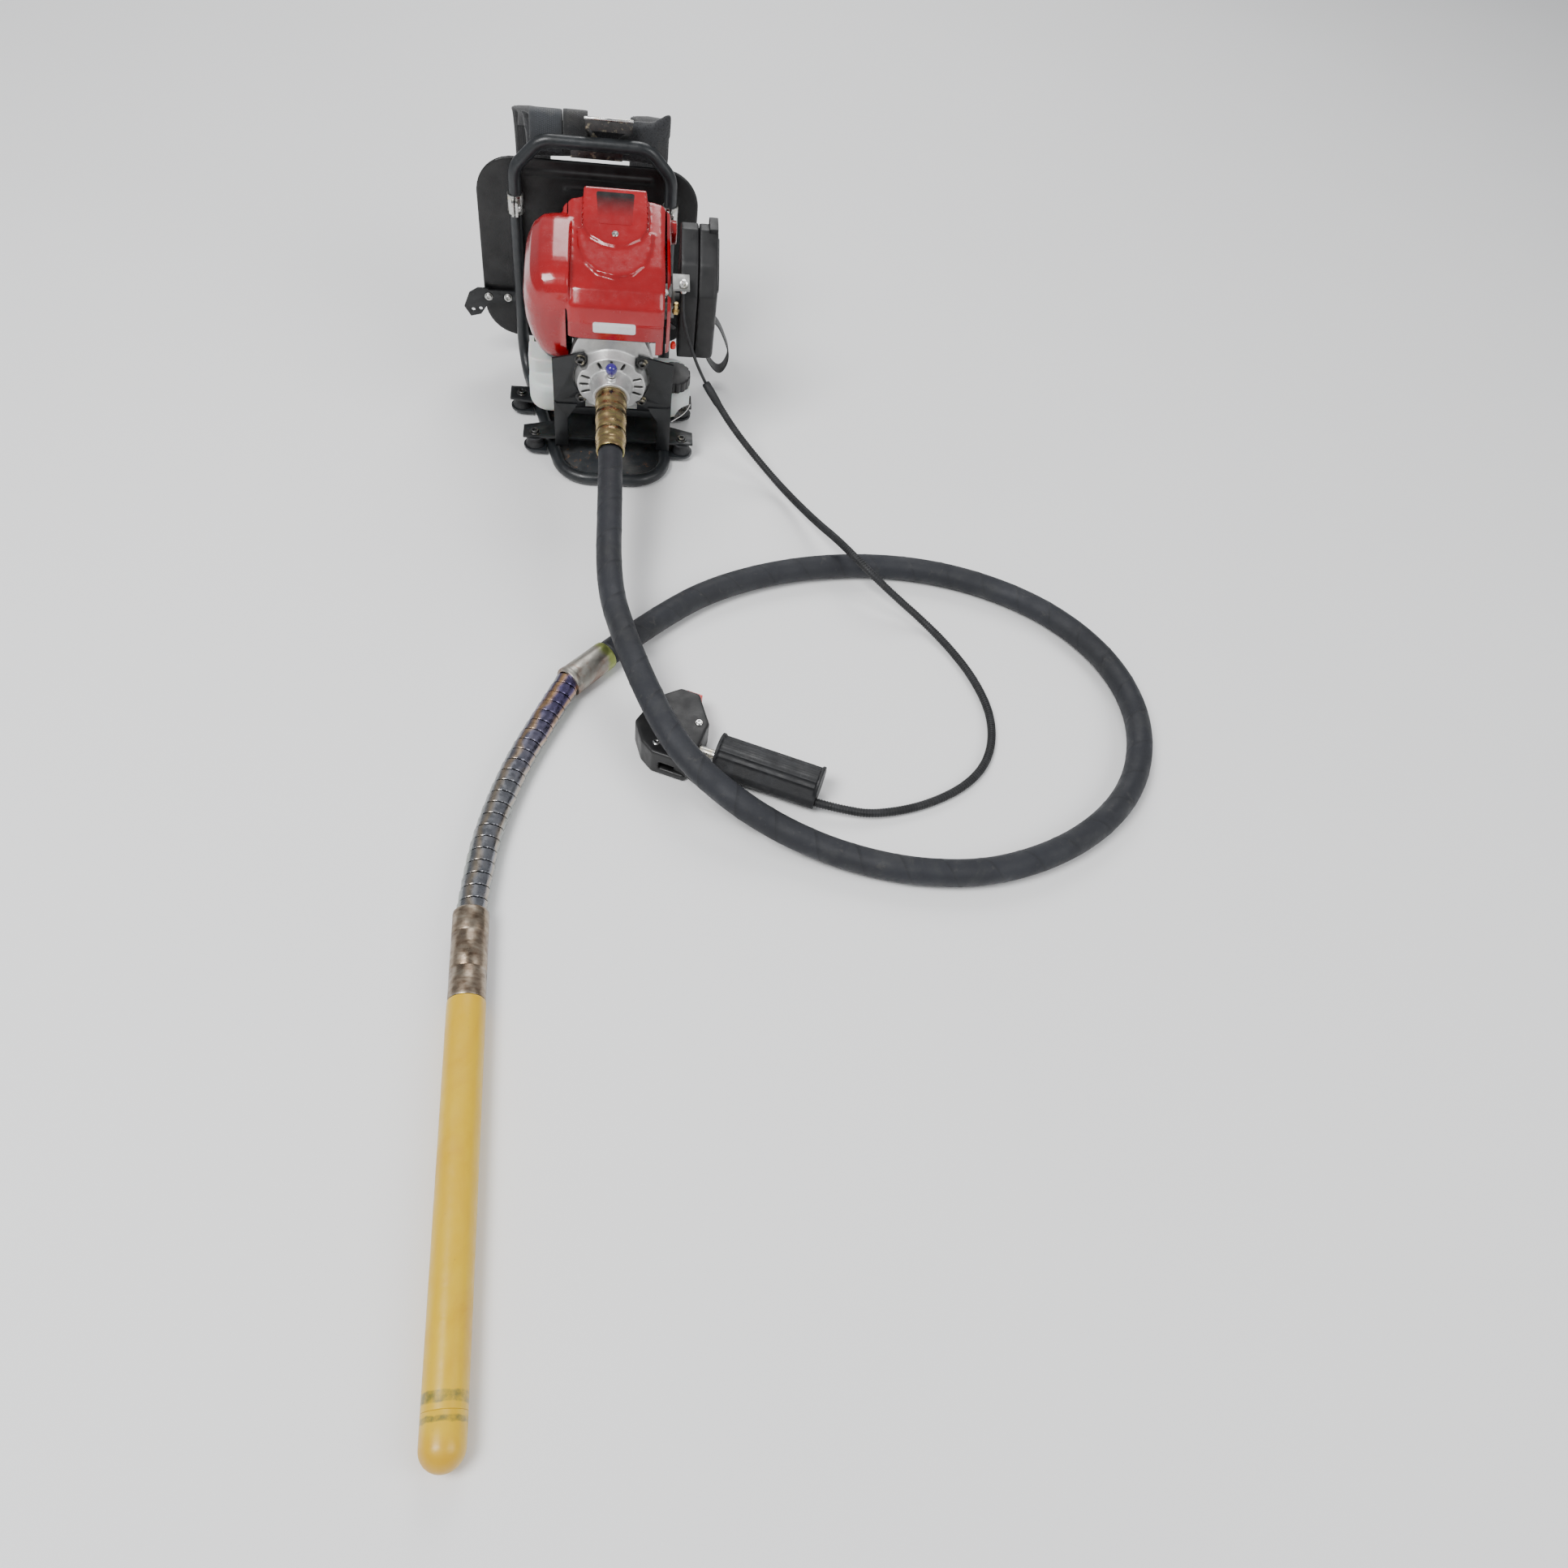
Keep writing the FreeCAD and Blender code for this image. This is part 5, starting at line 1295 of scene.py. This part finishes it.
class VIBRATOR_OT_red_cover(bpy.types.Operator):
    """Mould the red engine cover with its scoop, dome, vents and labels"""

    bl_idname = "vibrator.red_cover"
    bl_label = "Red cover"

    def body(self):
        """Main shell: its side outline drawn in a little towards the left and right ends."""
        verts = []
        for i in range(13):
            t = -1.0 + i / 6.0
            full = (1.0 - abs(t) ** 8 * 0.35) ** 0.25
            for y, z in COVER_SIDE:
                drawn = (5.0 + 65.5 * t, y + (92.0 - y) * (1.0 - full), z + (40.0 - z) * (1.0 - full))
                verts.append(Vector(drawn) * MM)
        return skinned("cover_main", verts, len(COVER_SIDE))

    def bulge(self, name, front, rear, wall):
        """Left bulge: a rounded half outline that shrinks towards its front and rear ends."""
        verts = []
        steps = 24
        for i in range(steps + 1):
            t = math.cos(math.pi * (1.0 - i / steps))
            full = max(1.0 - abs(t) ** 4, 0.004) ** 0.25
            y = (front + rear) / 2 + t * (rear - front) / 2
            for x, z in BULGE_SECTION:
                wide = -52.0 + (x + 52.0 + wall) * full
                tall = 66.0 + (z - 66.0) * full
                tall -= math.copysign(wall * full, tall - 66.0)
                verts.append(Vector((min(wide, -50.0), y, tall)) * MM)
        return skinned(name, verts, len(BULGE_SECTION))

    def slanted(self, name, plan, low, front, rear):
        """Prism over a plan whose top rises from front to rear."""
        mesh = prism(name, plan, "Z", low, 200.0)
        ys = [y for x, y in plan]
        slope = (rear - front) / (max(ys) - min(ys))
        for v in mesh.vertices:
            if v.co.z > 0.19:
                v.co.z = (front + slope * (v.co.y / MM - min(ys))) * MM
        return mesh

    def execute(self, context):
        shoulder = [(138, 96), (160, 96), (160, 116), (150, 119), (138, 112)]
        cover = moulded("red_cover", [
            self.body(),
            self.bulge("bulge", 14.0, 158.0, 0.0),
            self.slanted("cover_scoop", SCOOP_PLAN, 90.0, 133.0, 150.0),
            self.slanted("cover_dome", DOME_PLAN, 80.0, 124.5, 134.0),
            prism("cover_shoulder", shoulder, "X", 60.0, 79.0),
        ], 1.6, 9)
        cut(cover, prism("room", COVER_INSIDE, "X", -55.0, 66.0))
        cut(cover, self.bulge("bulge_room", 17.0, 155.0, 3.0))
        cut(cover, block("under", (-53.2, -10.0, 20.0), (53.2, 45.0, 62.0)))
        cut(cover, block("window", (60.0, 32.0, 48.0), (90.0, 112.0, 112.0)))
        cut(cover, block("under_rear", (-70.0, 100.0, 20.0), (90.0, 175.0, 62.0)))
        for lean, x in ((-0.5, -38.5), (0.5, 44.5)):
            for i in range(VENTS):
                slot = block("vent", (-4.0, -1.7, -4.0), (4.0, 1.7, 4.0))
                slot.transform(shift(x, 118.0 + 8.0 * i, 137.0 + 1.7 * i) @ Matrix.Rotation(lean, 4, "Z"))
                cut(cover, slot)
        cover.data.transform(ENGINE)
        smooth(cover.data, 42)
        belongs(cover, "red", ["top_cover", "side_cover"])
        self.trim_lower(cover)
        label = patch("blank_label", cover, (3.0, 4.0, 79.0), (0, 0.05, 1), (51.0, 14.5), 2.4, 0.25)
        belongs(label, "label")
        fade = patch("fade_panel", cover, (3.0, 135.0, 146.0), (0, 1, 0.2), (46.0, 46.0), 3.0, 0.2,
                     cells=(20, 24), taper=0.86)
        belongs(fade, "fade")
        return {"FINISHED"}

    def trim_lower(self, cover):
        """The bulge's lower edge is a black moulding."""
        cover.data.materials.append(finish("black"))
        back = ENGINE.inverted()
        for face in cover.data.polygons:
            place = back @ face.center
            if place.x < -0.050 and place.z < 0.018 + 0.12 * max(place.y - 0.05, 0.0):
                face.material_index = 1


class VIBRATOR_OT_engine_black(bpy.types.Operator):
    """Mould the air cleaner, recoil housing and other black engine parts"""

    bl_idname = "vibrator.engine_black"
    bl_label = "Black engine parts"

    def execute(self, context):
        for name, node, voxel, rounds, body in (
            ("air_case", "air_cleaner_case", 1.4, 14, "backpack"),
            ("air_lid", "air_cleaner_cover", 1.4, 18, "backpack"),
            ("recoil_bowl", "recoil_housing", 1.7, 5, "backpack"),
            ("pull_grip", "starter_grip", 0.8, 4, "starter"),
            ("rope_pulley", "recoil_pulley", 1.0, 3, "starter_pulley"),
        ):
            softened(name, node, voxel, rounds, "black", body)
        bevelled("choke_blade", "choke_lever", 0.2, "black_plastic", "black", "choke")
        self.add_lid_ribs()
        return {"FINISHED"}

    def add_lid_ribs(self):
        """Top fin, ridge and clip of the cleaner's lid."""
        ridge = [(58, 100), (66, 108), (112, 132), (116, 126), (72, 102), (62, 92)]
        clip = [(66, 40), (80, 40), (96, 70), (84, 70)]
        ribs = moulded("lid_ribs", [
            block("fin", (116.0, 108.0, 134.0), (127.0, 131.0, 146.0)),
            prism("ridge", ridge, "X", 126.0, 129.5),
            prism("clip", clip, "X", 126.0, 130.0),
        ], 0.9, 4)
        ribs.data.transform(ENGINE)
        belongs(ribs, "black")


class VIBRATOR_OT_clutch_casting(bpy.types.Operator):
    """Cast the clutch housing, crankcase, cylinder and carburettor"""

    bl_idname = "vibrator.clutch_casting"
    bl_label = "Castings"

    def execute(self, context):
        softened("clutch_casting", "clutch_housing", 0.9, 4, "alloy")
        softened("crank_casting", "crankcase", 1.5, 4, "dark_alloy")
        bevelled("cylinder_casting", "cylinder", 0.4, "cast_alloy", "dark_alloy")
        bevelled("carburettor_casting", "carburettor", 0.3, "cast_alloy", "dark_alloy")
        return {"FINISHED"}


class VIBRATOR_OT_coupling(bpy.types.Operator):
    """Turn the shaft coupling sleeve and the lock knob"""

    bl_idname = "vibrator.coupling"
    bl_label = "Coupling"

    def execute(self, context):
        profile = [(13.2, 13.0), (18.5, 13.0), (18.5, 30.2), (19.3, 30.4), (19.5, 31.0)]
        at = 31.0
        for run, r in SLEEVE_STEPS:
            profile += [(r, at + 0.8), (r + 0.05, at + run / 2), (r, at + run - 0.8)]
            profile += [(r - 0.3, at + run - 0.3), (r - 0.3, at + run)]
            at += run
        end = 118.0
        profile += [(17.4, end - 1.2), (16.8, end), (15.4, end), (15.3, end - 2.0), (15.2, 40.0)]
        profile.append((13.2, 13.0))
        sleeve = lathe("coupling_sleeve", profile)
        sleeve.transform(ENGINE @ LYING)
        piece("coupling_cup", sleeve, "chromate", ["coupling_sleeve"], 50)
        self.add_knob()
        return {"FINISHED"}

    def add_knob(self):
        """Ball on a steel pin: the pin is the lower part, the ball an arc that closes on the axis."""
        profile = [(0.0, 20.5), (2.4, 20.6), (2.5, 28.0), (4.2, 28.1), (4.2, 29.4), (3.5, 30.4), (3.4, 32.2)]
        for i in range(14):
            angle = math.radians(-60.0 + 150.0 * i / 14)
            profile.append((BALL_RADIUS * math.cos(angle), BALL_HEIGHT + BALL_RADIUS * math.sin(angle)))
        profile.append((0.0, BALL_HEIGHT + BALL_RADIUS))
        mesh = lathe("lock_knob", profile, 48)
        mesh.transform(ENGINE @ shift(0.0, -20.0, 0.0))
        knob = piece("lock_ball", mesh, "ball", ["lock_knob"], 50, "knob")
        knob.data.materials.append(finish("zinc"))
        back = ENGINE.inverted()
        for face in knob.data.polygons:
            if (back @ face.center).z < PIN_TOP * MM:
                face.material_index = 1


class VIBRATOR_OT_tank(bpy.types.Operator):
    """Mould the milky tank and its cap"""

    bl_idname = "vibrator.tank"
    bl_label = "Tank"

    def execute(self, context):
        softened("milky_tank", "fuel_tank", 1.5, 8, "milky")
        softened("tank_cap", "fuel_cap", 0.9, 3, "black", "cap")
        return {"FINISHED"}


class VIBRATOR_OT_inner_parts(bpy.types.Operator):
    """Dress the engine's inner parts and small fittings"""

    bl_idname = "vibrator.inner_parts"
    bl_label = "Inner parts"

    def execute(self, context):
        for look, nodes in NODE_LOOKS.items():
            for node in nodes:
                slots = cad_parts[node].data.materials
                slots.clear()
                slots.append(finish(look))
        bevelled("cable_nut", "cable_adjuster", 0.3, "zinc", "bright")
        bevelled("arm_plate", "throttle_arm", 0.3, "zinc", "zinc", "throttle")
        self.add_fittings()
        return {"FINISHED"}

    def add_fittings(self):
        """Brass fuel fitting, red terminal cap and the earth tab beside the tank."""
        brass = lathe("fuel_fitting", [
            (0.0, 0.0), (4.6, 0.0), (4.6, 4.0), (3.0, 4.6), (3.0, 9.0), (3.8, 9.6), (3.8, 13.0),
            (2.4, 14.0), (0.0, 14.0),
        ], 6)
        brass.transform(ENGINE @ shift(77.0, 34.0, 84.0))
        piece("fuel_fitting", brass, "brass", angle=30)
        cap = lathe("terminal_cap", [(0.0, 0.0), (3.4, 0.0), (3.6, 5.0), (2.6, 8.0), (0.0, 8.4)], 24)
        cap.transform(ENGINE @ shift(75.5, 20.0, 42.0))
        piece("terminal_cap", cap, "switch", angle=40)
        swell = [(34.0 * i / 12, math.sin(math.pi * (i / 12) ** 1.2)) for i in range(1, 12)]
        leaf = [(0.0, 0.0)] + [(x, 6.0 * y) for x, y in swell]
        leaf += [(34.0, 0.0)] + [(x, -4.0 * y) for x, y in reversed(swell)]
        tab = prism("earth_tab", leaf, "Z", 0.0, 1.2)
        tab.transform(
            shift(74.0, -90.0, 58.0) @ Matrix.Rotation(0.6, 4, "Z") @ Matrix.Rotation(-0.5, 4, "Y")
        )
        piece("earth_tab", tab, "bright", angle=30)


class VIBRATOR_OT_frame_metal(bpy.types.Operator):
    """Break the edges of the frame's plates and give them their bolts"""

    bl_idname = "vibrator.frame_metal"
    bl_label = "Frame metal"

    def execute(self, context):
        for row in (
            ("floor_plate", "base_plate", 0.6, "base_paint", "rusty"),
            ("carrier_plate", "sub_plate", 0.6, "bracket_paint", "bracket"),
            ("face_bracket", "engine_bracket", 0.6, "bracket_paint", "bracket"),
            ("cross_strip", "cross_bar", 0.5, "bracket_paint", "bracket"),
            ("carry_bars", "strap_plate", 0.6, "carry_steel", "dark_steel"),
            ("collar_pair", "tube_clamps", 0.4, "zinc", "zinc"),
        ):
            bevelled(*row)
        softened("mount_blocks", "rubber_mounts", 0.9, 3, "rubber")
        # Painted highlights: two short bright steel rods laid along the carry bars' top edges stand in for
        # the bright lines where those edges catch the light.
        for name, left, right, top in (("upper_rod", -41.0, 19.0, 344.5), ("lower_rod", -57.0, 5.0, 309.2)):
            highlight_rod = lathe(name, [
                (0.0, left), (1.6, left), (2.0, left + 0.6), (2.0, right - 0.6), (1.6, right), (0.0, right),
            ], 20)
            highlight_rod.transform(along(Vector((0.0, 109.8, top)) * MM, (1, 0, 0)))
            piece(name, highlight_rod, "bright", angle=40)
        self.add_bolts()
        return {"FINISHED"}

    def add_bolts(self):
        front = ENGINE.to_3x3() @ Vector((0, -1, 0))
        corners = ((-38, 30), (38, 30), (-38, -32), (38, -32))
        places = [(ENGINE @ (Vector((x, 2.7, z)) * MM), front) for x, z in corners]
        bolts = pieces_at("housing_bolt_heads", places, hex_bolt(5.4, 5.0), "dark_steel")
        belongs(bolts, None, ["housing_bolts"])
        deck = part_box("sub_plate")[1].z
        places = [(Vector((x * MM, y * MM, deck)), UP) for x, y in self.mount_spots()]
        heads = pieces_at("mount_bolt_heads", places, hex_bolt(5.2, 4.0), "dark_steel")
        belongs(heads, None, ["frame_bolts"])
        places = [(Vector((x, 108.1, 101.0)) * MM, (0, -1, 0)) for x in (-172.0, -146.0, 92.0)]
        places += [(Vector((x, 85.0, 238.0)) * MM, (way, 0, 0)) for x, way in ((-124.0, 1), (64.0, -1))]
        small = pieces_at("frame_bolt_heads", places, hex_bolt(4.4, 3.6, 1.25), "zinc")
        belongs(small, None)

    def mount_spots(self):
        """Bolt places of the four rubber mounts, beside the base loop's two converging rails."""
        spots = []
        for side, far in ((-1, -128.0), (1, 68.0)):
            near = side * 65.0
            for y in (-84.0, 0.0):
                share = (y + 151.0) / 251.0
                spots.append((near + (far - near) * share + side * 23.0, y))
        return spots


class VIBRATOR_OT_back_panel(bpy.types.Operator):
    """Press the back panel"""

    bl_idname = "vibrator.back_panel"
    bl_label = "Back panel"

    def execute(self, context):
        softened("back_shell", "back_panel", 1.6, 4, "panel")
        return {"FINISHED"}


def middle_of(mesh):
    return sum((v.co for v in mesh.vertices), Vector()) / len(mesh.vertices)


def puffed(name, node, voxel, cap, shrink):
    """A stuffed form grown from a frame node by a short pressure simulation, its travel capped."""
    mesh = node_copy(node)
    middle = middle_of(mesh)
    mesh.transform(Matrix.Translation(middle) @ Matrix.Diagonal((*shrink, 1.0)) @ Matrix.Translation(-middle))
    obj = moulded(name, [mesh], voxel, 6)
    rest = [v.co.copy() for v in obj.data.vertices]
    scene = bpy.context.scene
    settings = modifier(obj, "CLOTH").settings
    settings.use_pressure = True
    settings.uniform_pressure_force = 4.0
    settings.effector_weights.gravity = 0.0
    settings.quality = 5
    scene.frame_start = 1
    scene.frame_end = CLOTH_FRAMES
    for step in range(1, CLOTH_FRAMES + 1):
        scene.frame_set(step)
    bake(obj)
    scene.frame_set(1)
    for v, start in zip(obj.data.vertices, rest):
        moved = v.co - start
        if moved.length > cap * MM:
            v.co = start + moved.normalized() * cap * MM
    modifier(obj, "SUBSURF", levels=1, render_levels=1)
    bake(obj)
    smooth(obj.data)
    return obj


def sewn(obj, axis, places, depth, half):
    """Press sewn channels into the rear of a puffed form, each across one axis."""
    middle = middle_of(obj.data)
    for v in obj.data.vertices:
        for place in places:
            away = abs(v.co[axis] - place * MM) / (half * MM)
            if away < 1.0 and v.co.y > middle.y:
                v.co.y -= depth * MM * (1.0 - away) ** 2


class VIBRATOR_OT_pads(bpy.types.Operator):
    """Stuff the back pad and the neck pad"""

    bl_idname = "vibrator.pads"
    bl_label = "Pads"

    def execute(self, context):
        pad = puffed("back_cushion", "back_pad", 5.0, 6.0, (0.985, 0.86, 0.985))
        sewn(pad, 2, (115.0, 200.0), 8.0, 9.0)
        sewn(pad, 0, (-36.0,), 7.0, 8.0)
        belongs(pad, "cloth", ["back_pad"])
        neck = puffed("neck_cushion", "neck_pad", 3.5, 3.0, (0.99, 0.8, 0.985))
        for v in neck.data.vertices:
            v.co.z -= NECK_DROP * min(max((0.320 - v.co.z) / 0.020, 0.0), 1.0)
        belongs(neck, "cloth", ["neck_pad"])
        self.add_piping()
        return {"FINISHED"}

    def add_piping(self):
        """Binding tape round the back pad's rim."""
        low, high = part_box("back_pad")
        corner = 0.036
        reach = corner - 0.001
        points = []
        for x, z, start in (
            (high.x, high.z, 0), (low.x, high.z, 90), (low.x, low.z, 180), (high.x, low.z, 270),
        ):
            cx = x - math.copysign(reach, x - (low.x + high.x) / 2)
            cz = z - math.copysign(reach, z - (low.z + high.z) / 2)
            for i in range(9):
                angle = math.radians(start + 90 * i / 8)
                points.append(Vector((
                    cx + corner * math.cos(angle), low.y + 0.010, cz + corner * math.sin(angle),
                )))
        points.append(points[0])
        tape = sweep("pad_piping", evenly(points, 0.004), even_section(0.0024, 10), Vector((0, 1, 0)))
        piece("pad_piping", tape, "webbing")


def strap_section(width, thick, crown=0.0):
    """Flat strap section with rounded edges and a padded crown."""
    ring = []
    for i in range(24):
        angle = 2 * math.pi * i / 24
        side = math.copysign(abs(math.cos(angle)) ** 0.35, math.cos(angle))
        rise = math.copysign(abs(math.sin(angle)) ** 0.6, math.sin(angle))
        ring.append((side * width / 2, rise * (thick / 2 + crown * (1 - side * side))))
    return ring


def webbing(name, route, width, thick, look, nodes=(), first=UP):
    """A flat band along a route in millimetres."""
    line = line_of(in_metres(route), 0.002)
    mesh = sweep(name, line, lambda s, share: strap_section(width, thick), first)
    return piece(name, mesh, look, nodes, 60)


class VIBRATOR_OT_straps(bpy.types.Operator):
    """Sew the shoulder straps, the webbing loop and the folded carry webbing"""

    bl_idname = "vibrator.straps"
    bl_label = "Straps"

    def execute(self, context):
        for side, x, nodes in (("left", -110.0, ["shoulder_straps"]), ("right", 38.0, [])):
            line = line_of(in_metres([(x, y, z) for y, z in STRAP_LINE]), 0.003)
            mesh = sweep("strap_" + side, line, self.section)
            piece("strap_" + side, mesh, "webbing", nodes, 60)
            frames = carried_frames(line)
            self.add_stitches(side, frames)
            self.add_buckle(side, *frames[int(len(frames) * BUCKLE_AT)])
        loop = [(x, 97.0, z) for x, z in LOOP_LINE]
        webbing("webbing_loop", loop, 0.022, 0.0018, "webbing", ["strap_loop"])
        self.fold("fold_webbing", -88.0, 0.040, "grey_webbing", 0.0)
        self.fold("carry_webbing", -52.0, 0.030, "webbing", 1.0)
        return {"FINISHED"}

    def section(self, s, share):
        """Padded over the shoulder, plain webbing at both ends."""
        padded = min(max((share - 0.06) / 0.05, 0.0), 1.0) * min(max((0.62 - share) / 0.06, 0.0), 1.0)
        return strap_section(0.026 + 0.019 * padded, 0.002 + 0.003 * padded, 0.0022 * padded)

    def add_stitches(self, side, frames):
        """Rows along both edges of both faces of the padded part."""
        count = len(frames)
        picked = frames[int(count * 0.12):int(count * 0.56)]
        for edge, across in (("l", -0.0185), ("r", 0.0185)):
            for face, out in (("i", -0.0031), ("o", 0.0031)):
                points = [centre + a * across + normal * out for centre, a, normal in picked]
                name = "stitches_%s_%s%s" % (side, edge, face)
                row = pieces_along(name, points, sizes().stitch_pitch, stitch(), "grey_webbing")
                belongs(row, None)

    def add_buckle(self, side, centre, across, normal):
        """Ladder-lock slider between the padded part and the tail."""
        parts = [
            block("bar", (-19.0, place - r, 2.0), (19.0, place + r, 5.6))
            for place, r in ((-13.0, 2.2), (0.0, 1.8), (13.0, 2.2))
        ]
        parts += [
            block("rail", (rail - 2.2, -15.0, -2.2), (rail + 2.2, 15.0, 5.6)) for rail in (-19.0, 19.0)
        ]
        buckle = moulded("buckle_" + side, parts, 0.8, 4)
        turned = Matrix((across, across.cross(normal), normal)).transposed().to_4x4()
        buckle.data.transform(Matrix.Translation(centre) @ turned)
        outward(buckle.data)
        belongs(buckle, "black")

    def fold(self, name, x, width, look, lift):
        """Webbing folded over the neck pad's top edge and down its front face."""
        route = [(x, y, z) for y, z in (
            (139, 292), (139.5, 318), (139, 334), (134, 341.5 + lift), (126, 342.5 + lift),
            (118.5, 339), (116.5, 326), (116, 306), (115.5, 298),
        )]
        webbing(name, route, width, 0.0022, look, first=Vector((0, 1, 0)))


class VIBRATOR_OT_hand_control(bpy.types.Operator):
    """Mould the grip, its housing, the trigger and the stop switch"""

    bl_idname = "vibrator.hand_control"
    bl_label = "Hand control"

    def execute(self, context):
        softened("ribbed_grip", "handle_grip", 0.9, 4, "rubber")
        softened("switch_case", "handle_housing", 0.9, 14, "black")
        softened("lever_blade", "throttle_trigger", 0.8, 5, "black", "trigger")
        softened("stop_key", "stop_switch", 0.5, 4, "switch", "stop_button")
        self.add_screws()
        return {"FINISHED"}

    def add_screws(self):
        """Three screws in the housing, one in the cleaner's lid and one in the red cover's dome."""
        spots = ((-70.0, 18.0), (-30.0, 18.0), (-62.0, -26.0))
        places = [(HAND @ (Vector((x, y, 34.0)) * MM), UP) for x, y in spots]
        turned = ENGINE.to_3x3()
        places.append((ENGINE @ (Vector((128.4, 92.0, 96.0)) * MM), turned @ Vector((1, 0, 0))))
        above = ENGINE @ (Vector((3.0, 95.0, 175.0)) * MM)
        cover = bpy.data.objects["red_cover"]
        hit, place, normal, face = cover.ray_cast(above, turned @ Vector((0, 0.12, -1)))
        if not hit:
            raise RuntimeError("the cover's screw misses the cover")
        places.append((place, normal))
        heads = pieces_at("cover_screws", places, hex_bolt(3.4, 2.2, 1.2), "bright")
        belongs(heads, None, ["screws"])


class VIBRATOR_OT_stage(bpy.types.Operator):
    """Lay the floor and hang the soft lights"""

    bl_idname = "vibrator.stage"
    bl_label = "Stage"

    def execute(self, context):
        corners = [(x * FLOOR_HALF, y * FLOOR_HALF, 0) for x, y in ((-1, -1), (1, -1), (1, 1), (-1, 1))]
        floor = mesh_of("floor", corners, [(0, 1, 2, 3)])
        floor.transform(Matrix.Translation((0, 0, -FLOOR_GAP)))
        ground = new_object("floor", floor)
        pale = tuple(colours().floor)
        fin = Finish("studio_floor", pale, 0.75)
        fin.put("Base Color", fin.mix(fin.span(fin.noise(3.0, 3.0), 0.3, 0.7), pale, tint(pale, 0.985)))
        ground.data.materials.append(fin.material)
        world = bpy.data.worlds.new("studio")
        world.use_nodes = True
        sky = world.node_tree.nodes["Background"].inputs
        sky["Color"].default_value = SKY_COLOUR
        sky["Strength"].default_value = SKY_STRENGTH
        context.scene.world = world
        for name, place, watts, wide in LAMPS:
            lamp = bpy.data.lights.new(name, "AREA")
            lamp.energy = watts
            lamp.size = wide
            spot = Vector(place)
            aim = (Vector(LIT_PLACE) - spot).to_track_quat("-Z", "Y").to_matrix().to_4x4()
            new_object(name, lamp).matrix_world = Matrix.Translation(spot) @ aim
        return {"FINISHED"}


class VIBRATOR_PT_panel(bpy.types.Panel):
    bl_idname = "VIBRATOR_PT_panel"
    bl_label = "Concrete Vibrator"
    bl_space_type = "VIEW_3D"
    bl_region_type = "UI"
    bl_category = "Vibrator"

    def draw(self, context):
        for name, kind in GROUPS:
            column = self.layout.column()
            for setting in kind.__annotations__:
                column.prop(getattr(context.scene, name), setting)
        for step in STEPS:
            self.layout.operator(step.bl_idname)


GROUPS = (
    ("vibrator_colours", VibratorColours),
    ("vibrator_sizes", VibratorSizes),
    ("vibrator_view", VibratorView),
)
STEPS = (
    VIBRATOR_OT_camera, VIBRATOR_OT_hose, VIBRATOR_OT_guard, VIBRATOR_OT_throttle_line,
    VIBRATOR_OT_head, VIBRATOR_OT_red_cover, VIBRATOR_OT_engine_black, VIBRATOR_OT_clutch_casting,
    VIBRATOR_OT_coupling, VIBRATOR_OT_tank, VIBRATOR_OT_inner_parts, VIBRATOR_OT_frame_metal,
    VIBRATOR_OT_back_panel, VIBRATOR_OT_pads, VIBRATOR_OT_straps, VIBRATOR_OT_hand_control,
    VIBRATOR_OT_stage,
)
CLASSES = tuple(kind for name, kind in GROUPS) + STEPS + (VIBRATOR_PT_panel,)


def register():
    for cls in CLASSES:
        bpy.utils.register_class(cls)
    for name, kind in GROUPS:
        setattr(bpy.types.Scene, name, bpy.props.PointerProperty(type=kind))


def unregister():
    for name, kind in GROUPS:
        delattr(bpy.types.Scene, name)
    for cls in reversed(CLASSES):
        bpy.utils.unregister_class(cls)


def main():
    register()
    for step in STEPS:
        group, name = step.bl_idname.split(".")
        getattr(getattr(bpy.ops, group), name)()


if __name__ == "__main__":
    main()
